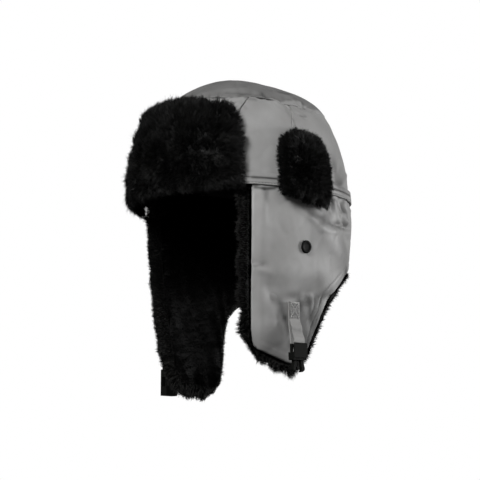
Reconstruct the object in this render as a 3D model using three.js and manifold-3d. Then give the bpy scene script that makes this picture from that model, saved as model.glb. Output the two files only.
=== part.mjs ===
// A trapper hat in the ushanka form: a grey cloth crown of four side panels and an oval top, a stitched
// band, a one-piece curtain of ear flaps and neck flap, black pile linings, a turned-up pile visor, a small
// pile tab over each ear, snaps and two short chin straps that end in the halves of a side-release buckle.
// Millimetres, +Z up. The face looks along -Y and the wearer's left is +X. The origin is the centre of the
// head opening, level with the seam between crown and curtain.
import * as THREE from "three";
import { mergeVertices } from "three/addons/utils/BufferGeometryUtils.js";
import Module from "manifold-3d";

const wasm = await Module();
wasm.setup();

// Driving dimensions of the outer cloth surface. Each row is one section, a fixed run of cloth above the
// last: its height, how far its centre moves along Y, and its half-width and reach to the front and back.
const SECTION_RUN = 21;
const SEAM_ROW = 9;
const SECTIONS = [
  { z: -189, shift: 0, side: 64, front: 94, back: 92 },
  { z: -168, shift: 0, side: 68, front: 96, back: 94 },
  { z: -147, shift: 0, side: 72, front: 98, back: 95.5 },
  { z: -126, shift: 0, side: 75.5, front: 99.5, back: 97 },
  { z: -105, shift: 0, side: 78.5, front: 101, back: 98 },
  { z: -84, shift: 0, side: 81, front: 102, back: 99.5 },
  { z: -63, shift: 0, side: 83, front: 103, back: 102.3 },
  { z: -42, shift: 0, side: 85, front: 103.5, back: 103.5 },
  { z: -21, shift: 0, side: 86, front: 104, back: 103 },
  { z: 0, shift: 0, side: 85.5, front: 103.5, back: 101.3 },
  { z: 21, shift: -0.5, side: 84, front: 102, back: 100.5 },
  { z: 41.5, shift: -2, side: 80.5, front: 97.5, back: 98.5 },
  { z: 60, shift: -5, side: 76, front: 89, back: 95.5 },
  { z: 77, shift: -9, side: 69, front: 75, back: 93 },
  { z: 90.5, shift: -12.5, side: 59.5, front: 59, back: 87 },
  { z: 100.5, shift: -16, side: 46.5, front: 42, back: 74 },
  { z: 107, shift: -19, side: 28, front: 24, back: 49 },
  { z: 109.3, shift: -22, side: 0, front: 0, back: 0 },
];
const APEX_RUN = (SECTIONS.length - 1 - SEAM_ROW) * SECTION_RUN;
const SECTION_POWER = 2.25; // 2 is an ellipse, more is squarer
const GIRTH_RADIUS = 92; // turns an angle round the head into millimetres of cloth

// Soft folds and dents of the cloth, each along a line from one place to another. Angles are in degrees
// from the back of the head towards the wearer's left, runs in millimetres above the seam.
const FOLDS = [
  { fromAngle: 70, fromRun: -14, toAngle: 40, toRun: -40, width: 11, lift: -3 },
  { fromAngle: 84, fromRun: -24, toAngle: 54, toRun: -58, width: 12, lift: 2 },
  { fromAngle: 34, fromRun: -14, toAngle: 28, toRun: -36, width: 10, lift: 1.4 },
  { fromAngle: 116, fromRun: -94, toAngle: 78, toRun: -92, width: 11, lift: -3 },
  { fromAngle: 118, fromRun: -132, toAngle: 104, toRun: -140, width: 11, lift: 1.8 },
  { fromAngle: 54, fromRun: 14, toAngle: 44, toRun: 44, width: 11, lift: -2.2 },
  { fromAngle: 58, fromRun: 98, toAngle: 88, toRun: 94, width: 11, lift: -2.6 },
  { fromAngle: -68, fromRun: -14, toAngle: -44, toRun: -42, width: 11, lift: -2.6 },
  { fromAngle: -84, fromRun: -92, toAngle: -112, toRun: -88, width: 11, lift: -2.4 },
  { fromAngle: -50, fromRun: 96, toAngle: -82, toRun: 100, width: 11, lift: -2 },
  { fromAngle: 10, fromRun: -10, toAngle: 4, toRun: -44, width: 11, lift: -2.2 },
];

// Lower edge of the curtain's cloth: its run below the seam on each side at each angle from the back of the
// head, and how far the pile reaches past it.
const HEM = [
  { angle: 0, left: -59, right: -59, pile: 9 },
  { angle: 25, left: -64, right: -63, pile: 7 },
  { angle: 42, left: -72, right: -71, pile: 3.5 },
  { angle: 57, left: -89, right: -89, pile: 2 },
  { angle: 67.5, left: -107, right: -107, pile: 2.5 },
  { angle: 75, left: -130, right: -163, pile: 2.5 },
  { angle: 83, left: -154.5, right: -175.5, pile: 5.5 },
  { angle: 94, left: -160, right: -176.5, pile: 9 },
  { angle: 106, left: -156.5, right: -173.5, pile: 9.5 },
  { angle: 118, left: -151, right: -173, pile: 9 },
  { angle: 124.5, left: -146.5, right: -163, pile: 7 },
  { angle: 126.5, left: -131, right: -142, pile: 10.5 },
];
const FLAP_FRONT_ANGLE = HEM[HEM.length - 1].angle;
const HEM_BLEND = 1.3; // how fast the curtain's columns stand upright above the hem
const HEM_HALF_COLUMNS = 22;
const CURTAIN_COLUMNS = 2 * HEM_HALF_COLUMNS;
const CURTAIN_ROWS = 9;

// Cloth layers, as offsets from the outer cloth surface, outward positive.
const CLOTH = 2;
const PANEL_GAP = 0.4;
const BAND = { low: -3, high: 8, inner: 1, outer: 2.3 };
const TOP_PANEL = { run: 92, gap: 0.9 };
// The seams between the crown's side panels: their angle at each run above the band.
const FRONT_SEAM = [
  { run: 0, angle: 134 },
  { run: 55, angle: 133.5 },
  { run: 66, angle: 132 },
  { run: 77, angle: 128.5 },
  { run: 85, angle: 124.5 },
  { run: 92, angle: 121 },
];
const SIDE_SEAM = [
  { run: 0, angle: 95 },
  { run: 60, angle: 93.5 },
  { run: 77, angle: 88 },
  { run: 92, angle: 86.5 },
];
const LINING = { outer: -4.2, inner: -5.8 };

// Black pile lining of the curtain, which reaches up inside the crown. Its border turns out past the cloth:
// each ring has its clearance, its share of the pile's reach and the offsets of its back and face.
const PILE = { seamRun: -1.5, topRun: 18, back: -3.6, face: -13, cuff: -10 };
const PILE_BORDER = [
  { clear: 0, share: 0, back: -3.6, face: -13 },
  { clear: 1, share: 0, back: -3.6, face: -12.6 },
  { clear: 1.5, share: 0, back: 1, face: -12 },
  { clear: 0, share: 1, back: 0.5, face: -6 },
];
const FRINGE_REACH = 3;
const LOCK = { lift: 3, valley: 0.8, drop: 7 };

// Turned-up visor: a cloth backing and a thick pile face, with the drop of its top edge at each angle, and
// offsets of the face at each run above the seam.
const VISOR_END = { left: 132.4, right: 231 };
const VISOR_BACKING = { low: 2, high: 78.5, inner: 3.1, outer: 4.3 };
const VISOR_PILE = { columns: 34, rows: 10, endColumns: 3, endFullness: 0.6, inner: 5, lockDrop: 5.6 };
const VISOR_DROP = [
  { angle: 132.4, drop: 22 },
  { angle: 134.8, drop: 13 },
  { angle: 138.5, drop: 9 },
  { angle: 145, drop: 7 },
  { angle: 153, drop: 4.5 },
  { angle: 166, drop: 0.5 },
  { angle: 180, drop: 0 },
  { angle: 210, drop: -0.5 },
  { angle: 220, drop: -6.5 },
  { angle: 228, drop: -9 },
  { angle: 231, drop: -5 },
];
const VISOR_SAG = { reach: 5, from: 205 };
const VISOR_FACE = [
  { run: -8, offset: 7 },
  { run: -4, offset: 9.5 },
  { run: 4, offset: 10.5 },
  { run: 20, offset: 10.5 },
  { run: 40, offset: 10 },
  { run: 62, offset: 10.5 },
  { run: 76, offset: 12 },
  { run: 82, offset: 11 },
];

// Pile that rolls under the crown's front edge: its end angle and its cross-section.
const BROW_ANGLE = 138;
const BROW_SECTION = [
  { offset: 3.6, run: -4 },
  { offset: 0, run: -4 },
  { offset: -3.6, run: -1.5 },
  { offset: -3.6, run: 18 },
  { offset: -9, run: 18 },
  { offset: -12, run: 10 },
  { offset: -12, run: -2 },
  { offset: -7, run: -8 },
  { offset: 3.6, run: -8 },
];

// Pile tab over each ear, stitched in at the band and turned up against the crown. Above the shoulder, a
// share of its height, the tab narrows to a round top, which is fuller towards the back. Its foot slants
// down towards the back, and its lower corners are cut back over a share of the height.
const TAB = { angle: 92.2, low: -15, high: 52.5, halfWidth: 31.5, shoulder: 0.52, waist: 0.03, slant: 3.6 };
const TAB_TOP = { frontPower: 2.3, backPower: 3.6 };
const TAB_FOOT = { share: 0.16, cut: 0.15 };
const TAB_PILE = { inner: 3.1, edge: 3, depth: 10, lockShare: 0.7 };

// Snap caps, one on each flap, standing clear of the cloth.
const SNAP = { angle: 90, run: -55, radius: 6, height: 1.8, dish: 0.6, rim: 1, clear: 0.5 };

// Webbing, sewn flat to the flap, then hanging as a loop round the buckle's bar, which stands off by bulge.
const WEBBING = { width: 12, thick: 1.3, sewn: 15, closed: 3, hang: 25, bulge: 6, slack: 0.35 };
const STRAP_PLACES = {
  left: { angle: 97.5, run: -105.5, clear: 0.7 },
  right: { angle: -109.5, run: -112, clear: 0.4 },
};

// Buckle halves: the shared plate with its bar, the socket, and the spring arms with their guide. A shield on
// the prongs' plate stands in front of the webbing's end.
const BUCKLE = { width: 15, thick: 7.6, bar: 1.6, slot: 4.2, base: 7, cheekClear: 0.35 };
const SHIELD = { inner: 3.6, outer: 4.8, top: 2.5, drop: 2 };
const SOCKET = { depth: 18, wall: 1.3, windowRadius: 5, windowDrop: 5, windowOut: 1.5 };
const ARM = { reach: 5.8, length: 10.5, width: 2.2, thick: 4.2, spread: 0.8 };
const GUIDE = { width: 2.6, thick: 2.4, length: 8.5 };

const radians = THREE.MathUtils.degToRad;
const degreesOf = (across) => THREE.MathUtils.radToDeg(across / GIRTH_RADIUS);

// Smooth value between b and c, with a and d as the neighbours.
function catmull(a, b, c, d, t) {
  const bend = 2 * a - 5 * b + 4 * c - d;
  return 0.5 * (2 * b + (c - a) * t + bend * t * t + (3 * b - a - 3 * c + d) * t ** 3);
}

// A row of SECTIONS by number. The row past the top is the one before it turned over, which rounds the top.
function sectionRow(number) {
  const last = SECTIONS.length - 1;
  if (number <= last) return SECTIONS[Math.max(number, 0)];
  const { z, shift, side, front, back } = SECTIONS[last - 1];
  return { z, shift: 2 * SECTIONS[last].shift - shift, side: -side, front: -front, back: -back };
}

// The section at any run of cloth above or below the seam.
function sectionAt(run) {
  const place = THREE.MathUtils.clamp(SEAM_ROW + run / SECTION_RUN, 0, SECTIONS.length - 1);
  const row = Math.min(Math.floor(place), SECTIONS.length - 2);
  const near = [-1, 0, 1, 2].map((step) => sectionRow(row + step));
  const blend = (key) => catmull(...near.map((section) => section[key]), place - row);
  return {
    z: blend("z"),
    shift: blend("shift"),
    side: Math.max(blend("side"), 0),
    front: Math.max(blend("front"), 0),
    back: Math.max(blend("back"), 0),
  };
}

// A point of the outer cloth surface, before folds and offsets.
function surfacePoint(degrees, run) {
  const { z, shift, side, front, back } = sectionAt(run);
  if (side < 1e-6) return new THREE.Vector3(0, shift, z);
  const across = Math.sin(radians(degrees));
  const along = Math.cos(radians(degrees));
  const reach = along > 0 ? back : front;
  const power = Math.abs(across / side) ** SECTION_POWER + Math.abs(along / reach) ** SECTION_POWER;
  const radius = power ** (-1 / SECTION_POWER);
  return new THREE.Vector3(across * radius, shift + along * radius, z);
}

// The outward direction of the cloth surface.
function surfaceNormal(degrees, run) {
  if (run > APEX_RUN - 1) return new THREE.Vector3(0, 0, 1);
  const step = 0.5;
  const round = surfacePoint(degrees + step, run).sub(surfacePoint(degrees - step, run));
  const up = surfacePoint(degrees, run + step).sub(surfacePoint(degrees, run - step));
  return up.cross(round).normalize();
}

// How far the folds move the cloth out, or in where negative.
function foldLift(degrees, run) {
  const place = new THREE.Vector2(radians(degrees) * GIRTH_RADIUS, run);
  let lift = 0;
  for (const fold of FOLDS) {
    const start = new THREE.Vector2(radians(fold.fromAngle) * GIRTH_RADIUS, fold.fromRun);
    const line = new THREE.Vector2(radians(fold.toAngle) * GIRTH_RADIUS, fold.toRun).sub(start);
    const share = THREE.MathUtils.clamp(place.clone().sub(start).dot(line) / line.lengthSq(), 0, 1);
    const away = place.distanceTo(start.addScaledVector(line, share));
    lift += fold.lift * Math.exp(-((away / fold.width) ** 2));
  }
  return lift;
}

// A point at an offset from the folded cloth surface.
function wallPoint(degrees, run, offset) {
  const out = surfaceNormal(degrees, run);
  return surfacePoint(degrees, run).addScaledVector(out, offset + foldLift(degrees, run));
}

// Smooth value of one column of a table at a place along another, with flat ends.
function tableValue(table, key, column, place) {
  const last = table.length - 1;
  const found = table.findIndex((row) => row[key] > place);
  const row = found < 0 ? last - 1 : Math.max(found - 1, 0);
  const near = [-1, 0, 1, 2].map((step) => table[THREE.MathUtils.clamp(row + step, 0, last)][column]);
  const share = (place - table[row][key]) / (table[row + 1][key] - table[row][key]);
  return catmull(...near, THREE.MathUtils.clamp(share, 0, 1));
}

// Collects triangles into one closed surface, joining corners that lie together.
class Surface {
  constructor() {
    this.corners = [];
    this.faces = [];
    this.known = new Map();
  }

  corner(point) {
    const key = [point.x, point.y, point.z].map((value) => Math.round(value * 1e3)).join();
    if (!this.known.has(key)) {
      this.known.set(key, this.corners.length);
      this.corners.push(point);
    }
    return this.known.get(key);
  }

  triangle(a, b, c) {
    if (a !== b && b !== c && c !== a) this.faces.push([a, b, c]);
  }

  quad(a, b, c, d) {
    const [i, j, k, l] = [a, b, c, d].map((point) => this.corner(point));
    this.triangle(i, j, k);
    this.triangle(i, k, l);
  }

  // A patch of columns and rows. place(column, row) gives each corner.
  patch(columns, rows, place, insideOut) {
    for (let i = 0; i < columns; i++)
      for (let j = 0; j < rows; j++) {
        const round = [place(i, j), place(i, j + 1), place(i + 1, j + 1), place(i + 1, j)];
        this.quad(...(insideOut ? round.reverse() : round));
      }
  }

  // The rim between two edges that run side by side.
  rim(outerEdge, innerEdge) {
    for (let i = 0; i + 1 < outerEdge.length; i++)
      this.quad(outerEdge[i], outerEdge[i + 1], innerEdge[i + 1], innerEdge[i]);
  }

  // The closed surface as a geometry, its faces turned outwards.
  geometry() {
    const volume = this.faces.reduce((sum, [a, b, c]) => {
      const [p, q, r] = [this.corners[a], this.corners[b], this.corners[c]];
      return sum + p.dot(q.clone().cross(r));
    }, 0);
    const faces = volume < 0 ? this.faces.map(([a, b, c]) => [a, c, b]) : this.faces;
    const made = new THREE.BufferGeometry().setFromPoints(this.corners);
    made.setIndex(faces.flat());
    made.computeVertexNormals();
    return made;
  }
}

const steps = (count) => Array.from({ length: count + 1 }, (_, i) => i);

// A sheet with an outer and an inner side. place(column, row, inner) gives each corner.
function sheetGeometry({ columns, rows, ring = false, place }) {
  const made = new Surface();
  made.patch(columns, rows, (i, j) => place(i, j, false), false);
  made.patch(columns, rows, (i, j) => place(i, j, true), true);
  const edges = ring
    ? [steps(columns).map((i) => [i, 0]), steps(columns).reverse().map((i) => [i, rows])]
    : [[
        ...steps(columns).map((i) => [i, 0]),
        ...steps(rows).slice(1).map((j) => [columns, j]),
        ...steps(columns).reverse().slice(1).map((i) => [i, rows]),
        ...steps(rows).reverse().slice(1).map((j) => [0, j]),
      ]];
  for (const edge of edges)
    made.rim(
      edge.map(([i, j]) => place(i, j, false)),
      edge.map(([i, j]) => place(i, j, true)),
    );
  return made.geometry();
}

// A ring of cloth between two runs, with a constant offset for each side.
function wallRing({ low, high, outer, inner, columns, rows }) {
  const place = (i, j, isInner) => {
    const degrees = 360 * ((i % columns) / columns);
    return wallPoint(degrees, low + ((high - low) * j) / rows, isInner ? inner : outer);
  };
  return sheetGeometry({ columns, rows, ring: true, place });
}

// A side panel of the crown between two seams, each given as the angle at a run, short of them by half a gap.
function crownPanel(fromSeam, toSeam, columns) {
  const rows = 8;
  const high = TOP_PANEL.run - TOP_PANEL.gap;
  const gap = degreesOf(PANEL_GAP);
  const place = (i, j, isInner) => {
    const run = (high * j) / rows;
    const fromAngle = fromSeam(run) + gap / 2;
    const degrees = fromAngle + (toSeam(run) - gap / 2 - fromAngle) * (i / columns);
    return wallPoint(degrees, run, isInner ? -CLOTH : 0);
  };
  return sheetGeometry({ columns, rows, place });
}

function crownTop() {
  return wallRing({
    low: TOP_PANEL.run,
    high: APEX_RUN,
    outer: 0,
    inner: -CLOTH,
    columns: 32,
    rows: 5,
  });
}

function crownLining() {
  return wallRing({
    low: PILE.topRun + PANEL_GAP,
    high: APEX_RUN,
    outer: LINING.outer,
    inner: LINING.inner,
    columns: 24,
    rows: 5,
  });
}

function crownBand() {
  return wallRing({ low: BAND.low, high: BAND.high, outer: BAND.outer, inner: BAND.inner, columns: 44, rows: 1 });
}

// The curtain's lower edge as evenly spaced places from the right front, round the back, to the left front.
// Each has its place on the cloth, the direction that points away from it, and the reach of the pile there.
function hemPlaces(halfCount) {
  const half = (side) => {
    const curve = new THREE.SplineCurve(
      HEM.map((row) => new THREE.Vector2(radians(row.angle) * GIRTH_RADIUS, row[side])),
    );
    return steps(halfCount).map((i) => {
      const point = curve.getPointAt(i / halfCount);
      const along = curve.getTangentAt(i / halfCount);
      const pile = tableValue(HEM, "angle", "pile", degreesOf(point.x));
      return { across: point.x, run: point.y, outAcross: along.y, outRun: -Math.abs(along.x), pile };
    });
  };
  const mirrored = half("right").slice(1).reverse().map((place) => ({
    ...place,
    across: -place.across,
    outAcross: -place.outAcross,
  }));
  return [...mirrored, ...half("left")];
}

const HEM_PLACES = hemPlaces(HEM_HALF_COLUMNS);

// A place on the curtain: column across, and share of the way from the hem to a top run.
function curtainPlace(column, share, topRun) {
  const hem = HEM_PLACES[column];
  const front = radians(FLAP_FRONT_ANGLE) * GIRTH_RADIUS;
  const topAcross = front * (column / HEM_HALF_COLUMNS - 1);
  return {
    across: hem.across + (topAcross - hem.across) * share ** HEM_BLEND,
    run: hem.run + (topRun - hem.run) * share,
  };
}

function curtainShell() {
  const rows = CURTAIN_ROWS;
  const place = (i, j, isInner) => {
    const { across, run } = curtainPlace(i, j / rows, -PANEL_GAP);
    return wallPoint(degreesOf(across), run, isInner ? -CLOTH : 0);
  };
  return sheetGeometry({ columns: CURTAIN_COLUMNS, rows, place });
}

// Lift and drop of the pile's surface at a corner, which make rows of pointed locks, each over the next.
function lockShape(column, rowFromTop) {
  if (rowFromTop % 2 === 0) return { lift: 0, drop: 0 };
  const isTip = (column + (rowFromTop - 1) / 2) % 2 === 0;
  return isTip ? { lift: LOCK.lift, drop: LOCK.drop } : { lift: LOCK.valley, drop: 0 };
}

// The pile lining of the curtain: a field of locks inside the cloth, a cuff inside the crown above the seam,
// and below the seam a border that turns out round the cloth's edge.
function curtainPile() {
  const seamRow = CURTAIN_ROWS;
  const rows = seamRow + 1;
  const placeAt = (i, j) => {
    const place = curtainPlace(i, Math.min(j / seamRow, 1), PILE.seamRun);
    return j > seamRow ? { ...place, run: PILE.topRun } : place;
  };
  const field = (i, j, isFace) => {
    const { across, run } = placeAt(i, j);
    const isInside = isFace && i > 0 && i < CURTAIN_COLUMNS && j > 0 && j < rows;
    const lock = isInside ? lockShape(i, rows - j) : { lift: 0, drop: 0 };
    const face = j === rows ? PILE.cuff : PILE.face - lock.lift;
    return wallPoint(degreesOf(across), run - lock.drop, isFace ? face : PILE.back);
  };
  const edge = [
    ...steps(rows).reverse().map((j) => [0, j]),
    ...steps(CURTAIN_COLUMNS).slice(1).map((i) => [i, 0]),
    ...steps(rows).slice(1).map((j) => [CURTAIN_COLUMNS, j]),
  ];
  const last = PILE_BORDER.length - 1;
  const rim = (k, m, isFace) => {
    const [i, j] = edge[k];
    if (m === 0) return field(i, j, isFace);
    const { across, run } = placeAt(i, j);
    const { clear, share, back, face } = PILE_BORDER[m];
    const hem = HEM_PLACES[i];
    const fringe = m === last && k % 2 === 0 ? FRINGE_REACH : 0;
    const reach = clear + share * hem.pile + fringe;
    const [outAcross, outRun] = j > 0 ? [Math.sign(hem.across), 0] : [hem.outAcross, hem.outRun];
    const innermost = j === rows ? PILE.cuff : face;
    const outermost = j < seamRow ? back : PILE.back;
    const degrees = degreesOf(across + outAcross * reach);
    return wallPoint(degrees, run + outRun * reach, isFace ? innermost : outermost);
  };
  const made = new Surface();
  made.patch(CURTAIN_COLUMNS, rows, (i, j) => field(i, j, false), false);
  made.patch(CURTAIN_COLUMNS, rows, (i, j) => field(i, j, true), true);
  made.patch(edge.length - 1, last, (k, r) => rim(k, last - r, false), false);
  made.patch(edge.length - 1, last, (k, r) => rim(k, last - r, true), true);
  const loop = (isFace) => [
    ...edge.map((_, k) => rim(k, last, isFace)),
    ...steps(last - 1).reverse().map((m) => rim(edge.length - 1, m, isFace)),
    ...steps(CURTAIN_COLUMNS).reverse().slice(1).map((i) => field(i, rows, isFace)),
    ...steps(last).slice(1).map((m) => rim(0, m, isFace)),
  ];
  made.rim(loop(false), loop(true));
  return made.geometry();
}

const visorDrop = (degrees) => tableValue(VISOR_DROP, "angle", "drop", degrees);
const visorDegrees = (share) => THREE.MathUtils.lerp(VISOR_END.left, VISOR_END.right, share);

function visorBacking() {
  const { low, high, inner, outer } = VISOR_BACKING;
  const columns = 16;
  const rows = 4;
  const place = (i, j, isInner) => {
    const degrees = visorDegrees(i / columns);
    const run = low + ((high - visorDrop(degrees) - low) * j) / rows;
    return wallPoint(degrees, run, isInner ? inner : outer);
  };
  return sheetGeometry({ columns, rows, place });
}

// The visor's pile: thick in the middle, rounded towards its ends, with locks on the front.
function visorPile() {
  const { columns, rows, endColumns, endFullness, inner, lockDrop } = VISOR_PILE;
  const low = VISOR_FACE[0].run;
  const height = VISOR_FACE[VISOR_FACE.length - 1].run - low;
  const place = (i, j, isInner) => {
    const degrees = visorDegrees(i / columns);
    const full = height * (j / rows);
    const sag = VISOR_SAG.reach * THREE.MathUtils.smoothstep(degrees, VISOR_SAG.from, VISOR_END.right);
    const run = low + full * (1 - visorDrop(degrees) / height) - sag * (1 - j / rows) ** 2;
    if (isInner) return wallPoint(degrees, run, inner);
    const fromEnd = Math.min(i, columns - i, endColumns) / endColumns;
    const fullness = endFullness + (1 - endFullness) * Math.sin((fromEnd * Math.PI) / 2);
    const isEdge = i === 0 || i === columns || j === 0 || j === rows;
    const lock = isEdge ? { lift: 0, drop: 0 } : lockShape(i, rows - j);
    const face = tableValue(VISOR_FACE, "run", "offset", low + full);
    const offset = inner + (face - inner) * fullness + lock.lift;
    return wallPoint(degrees, run - (lock.drop / LOCK.drop) * lockDrop, offset);
  };
  return sheetGeometry({ columns, rows, place });
}

// The pile that rolls under the crown's front edge, from the foot of the visor to the inside of the brow.
function browPile() {
  const columns = 16;
  const degreesAt = (i) => BROW_ANGLE + (360 - 2 * BROW_ANGLE) * (i / columns);
  const place = (i, k) => {
    const { offset, run } = BROW_SECTION[k % BROW_SECTION.length];
    return wallPoint(degreesAt(i), run, offset);
  };
  const made = new Surface();
  made.patch(columns, BROW_SECTION.length, place, false);
  const outline = BROW_SECTION.map(({ offset, run }) => new THREE.Vector2(offset, run));
  const turn = THREE.ShapeUtils.area(outline);
  for (const face of THREE.ShapeUtils.triangulateShape(outline, [])) {
    const alike = THREE.ShapeUtils.area(face.map((k) => outline[k])) * turn > 0;
    for (const i of [0, columns]) {
      const order = alike === (i === columns) ? face : [...face].reverse();
      made.triangle(...order.map((k) => made.corner(place(i, k))));
    }
  }
  return made.geometry();
}

// A tongue-shaped tab of pile, turned up against the crown on one side of the head.
function earTab(side) {
  const columns = 8;
  const rows = 10;
  const { angle, low, high, halfWidth, shoulder, waist, slant } = TAB;
  const { inner, edge, depth, lockShare } = TAB_PILE;
  const place = (i, j, isInner) => {
    const across = (2 * i) / columns - 1;
    const up = j / rows;
    const inTop = Math.max((up - shoulder) / (1 - shoulder), 0);
    const power = across > 0 ? TAB_TOP.frontPower : TAB_TOP.backPower;
    const roundTop = Math.sqrt(Math.max(1 - inTop ** power, 0.06));
    const inFoot = Math.max(1 - up / TAB_FOOT.share, 0);
    const waisted = 1 - waist * Math.sin(Math.PI * Math.min(up / shoulder, 1));
    const narrow = waisted - TAB_FOOT.cut * inFoot ** 2;
    const isEdge = i === 0 || i === columns || j === 0 || j === rows;
    const lock = isInner || isEdge ? { lift: 0, drop: 0 } : lockShape(i, rows - j);
    const run = low + (high - low) * up + slant * across * (1 - up) - lock.drop * lockShare;
    const degrees = angle + degreesOf(across * halfWidth * roundTop * narrow);
    const swell = Math.sqrt((1 - across ** 4) * (1 - (2 * up - 1) ** 6));
    const face = inner + edge + (depth - edge) * swell + lock.lift * lockShare;
    return wallPoint(side * degrees, run, isInner ? inner : face);
  };
  return sheetGeometry({ columns, rows, place });
}

// A frame on the cloth: +Z points out of it, +Y up along it.
function placeOnWall(mesh, degrees, run, offset, upright = false) {
  const out = surfaceNormal(degrees, run);
  if (upright) out.setZ(0).normalize();
  const across = new THREE.Vector3(0, 0, 1).cross(out).normalize();
  const up = out.clone().cross(across);
  mesh.quaternion.setFromRotationMatrix(new THREE.Matrix4().makeBasis(across, up, out));
  mesh.position.copy(wallPoint(degrees, run, offset));
  return mesh;
}

// A snap's cap: a low round dome with a shallow dish.
function snapCap() {
  const { radius, height, dish, rim } = SNAP;
  const profile = [
    [0, 0],
    [radius, 0],
    [radius, height / 2],
    [radius - rim, height],
    [radius - 2 * rim, height],
    [radius - 3 * rim, height - dish],
    [0, height - dish],
  ].map(([x, y]) => new THREE.Vector2(x, y));
  return new THREE.LatheGeometry(profile, 14).rotateX(Math.PI / 2);
}

// A three.js geometry as a manifold solid, for joining and cutting.
function solidOf(geometry) {
  const bare = geometry.clone();
  bare.deleteAttribute("normal");
  bare.deleteAttribute("uv");
  const merged = mergeVertices(bare, 1e-3);
  const vertProperties = new Float32Array(merged.attributes.position.array);
  const triVerts = new Uint32Array(merged.index.array);
  return new wasm.Manifold(new wasm.Mesh({ numProp: 3, vertProperties, triVerts }));
}

function geometryOf(solid) {
  const { vertProperties, triVerts } = solid.getMesh();
  const made = new THREE.BufferGeometry();
  made.setAttribute("position", new THREE.BufferAttribute(new Float32Array(vertProperties), 3));
  made.setIndex(new THREE.BufferAttribute(new Uint32Array(triVerts), 1));
  made.computeVertexNormals();
  return made;
}

// A box from its lowest and highest corners.
function boxSolid(low, high) {
  const size = high.map((value, axis) => value - low[axis]);
  const middle = high.map((value, axis) => (value + low[axis]) / 2);
  return solidOf(new THREE.BoxGeometry(...size).translate(...middle));
}

// A flat shape in the strap's side view, X out of the flap and Y up, given a width across the strap.
function extrudeAcross(shape, width) {
  const made = new THREE.ExtrudeGeometry(shape, { depth: width, bevelEnabled: false, curveSegments: 6 });
  return made.translate(0, 0, -width / 2).rotateY(-Math.PI / 2);
}

// Side view of the webbing: two layers that part below the stitches and meet round the buckle's bar.
function webbingShape() {
  const { thick, sewn, closed, hang, bulge, slack } = WEBBING;
  const barY = -sewn - hang;
  const loopSide = (isOuter) => {
    const radius = BUCKLE.bar + slack + (isOuter ? thick : 0);
    const top = isOuter ? -sewn : -sewn - closed;
    const back = isOuter ? 0 : thick;
    const front = 2 * thick - back;
    const path = new THREE.Shape();
    path.moveTo(back, top);
    path.bezierCurveTo(back, top - hang / 2, bulge - radius, barY + hang / 2, bulge - radius, barY);
    path.absarc(bulge, barY, radius, Math.PI, 2 * Math.PI, false);
    path.bezierCurveTo(bulge + radius, barY + hang / 3, front + bulge / 2, top - hang / 3, front, top);
    return path;
  };
  const shape = loopSide(true);
  shape.lineTo(2 * thick, 0);
  shape.lineTo(0, 0);
  shape.closePath();
  const gap = loopSide(false);
  gap.closePath();
  shape.holes.push(gap);
  return shape;
}

function strapWebbing() {
  return extrudeAcross(webbingShape(), WEBBING.width);
}

// What both buckle halves share: a plate with a slot above it, whose top bar carries the webbing.
function buckleBase() {
  const { width, thick, bar, slot, base, cheekClear } = BUCKLE;
  const half = width / 2;
  const plateTop = -bar - slot;
  const bottom = plateTop - base;
  const cheek = WEBBING.width / 2 + cheekClear;
  const rod = solidOf(new THREE.CylinderGeometry(bar, bar, width, 12).rotateZ(Math.PI / 2));
  const leftCheek = boxSolid([-half, plateTop - 1, -bar], [-cheek, bar, bar]);
  const rightCheek = boxSolid([cheek, plateTop - 1, -bar], [half, bar, bar]);
  const plate = boxSolid([-half, bottom, -thick / 2], [half, plateTop, thick / 2]);
  return { solid: rod.add(leftCheek).add(rightCheek).add(plate), bottom };
}

// Outline of one spring arm, from its root at the plate, by the outer shoulder, to the tip and back.
function armShape(side) {
  const { reach, length, width, spread } = ARM;
  const root = reach - width;
  const shape = new THREE.Shape();
  shape.moveTo(side * (root - width * 0.4), 1);
  shape.lineTo(side * (root + width * 0.6), 1);
  shape.quadraticCurveTo(side * (reach - 0.5), -length * 0.35, side * (reach + spread), -length * 0.62);
  shape.lineTo(side * (reach + spread), -length * 0.78);
  shape.quadraticCurveTo(side * (reach - 1), -length, side * (root - 1), -length);
  shape.lineTo(side * root, -length * 0.72);
  shape.quadraticCurveTo(side * (root - 2), -length * 0.3, side * (root - width * 0.4), 1);
  return shape;
}

// The half with two spring arms, a middle guide and the shield.
function buckleMale() {
  const { solid, bottom } = buckleBase();
  const half = BUCKLE.width / 2;
  const shield = boxSolid([-half, bottom + SHIELD.drop, SHIELD.inner], [half, SHIELD.top, SHIELD.outer]);
  const { width, thick, length } = GUIDE;
  const middle = boxSolid([-width / 2, bottom - length, -thick / 2], [width / 2, bottom + 1, thick / 2]);
  const flat = { depth: ARM.thick, bevelEnabled: false, curveSegments: 5 };
  let made = solid.add(middle).add(shield);
  for (const side of [-1, 1]) {
    const arm = new THREE.ExtrudeGeometry(armShape(side), flat).translate(0, bottom, -ARM.thick / 2);
    made = made.add(solidOf(arm));
  }
  return geometryOf(made);
}

// The half with the open socket and the two side windows.
function buckleFemale() {
  const { solid, bottom } = buckleBase();
  const { depth, wall, windowRadius, windowDrop, windowOut } = SOCKET;
  const half = BUCKLE.width / 2;
  const face = BUCKLE.thick / 2;
  const end = bottom - depth;
  const body = boxSolid([-half, end, -face], [half, bottom + 1, face]);
  const socket = boxSolid([wall - half, end - 1, wall - face], [half - wall, bottom - 1, face - wall]);
  let made = solid.add(body).subtract(socket);
  for (const side of [-1, 1]) {
    const window = new THREE.CylinderGeometry(windowRadius, windowRadius, 2 * (face - wall), 14);
    window.rotateX(Math.PI / 2).translate(side * (half + windowOut), bottom - windowDrop, 0);
    made = made.subtract(solidOf(window));
  }
  return geometryOf(made);
}

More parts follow.
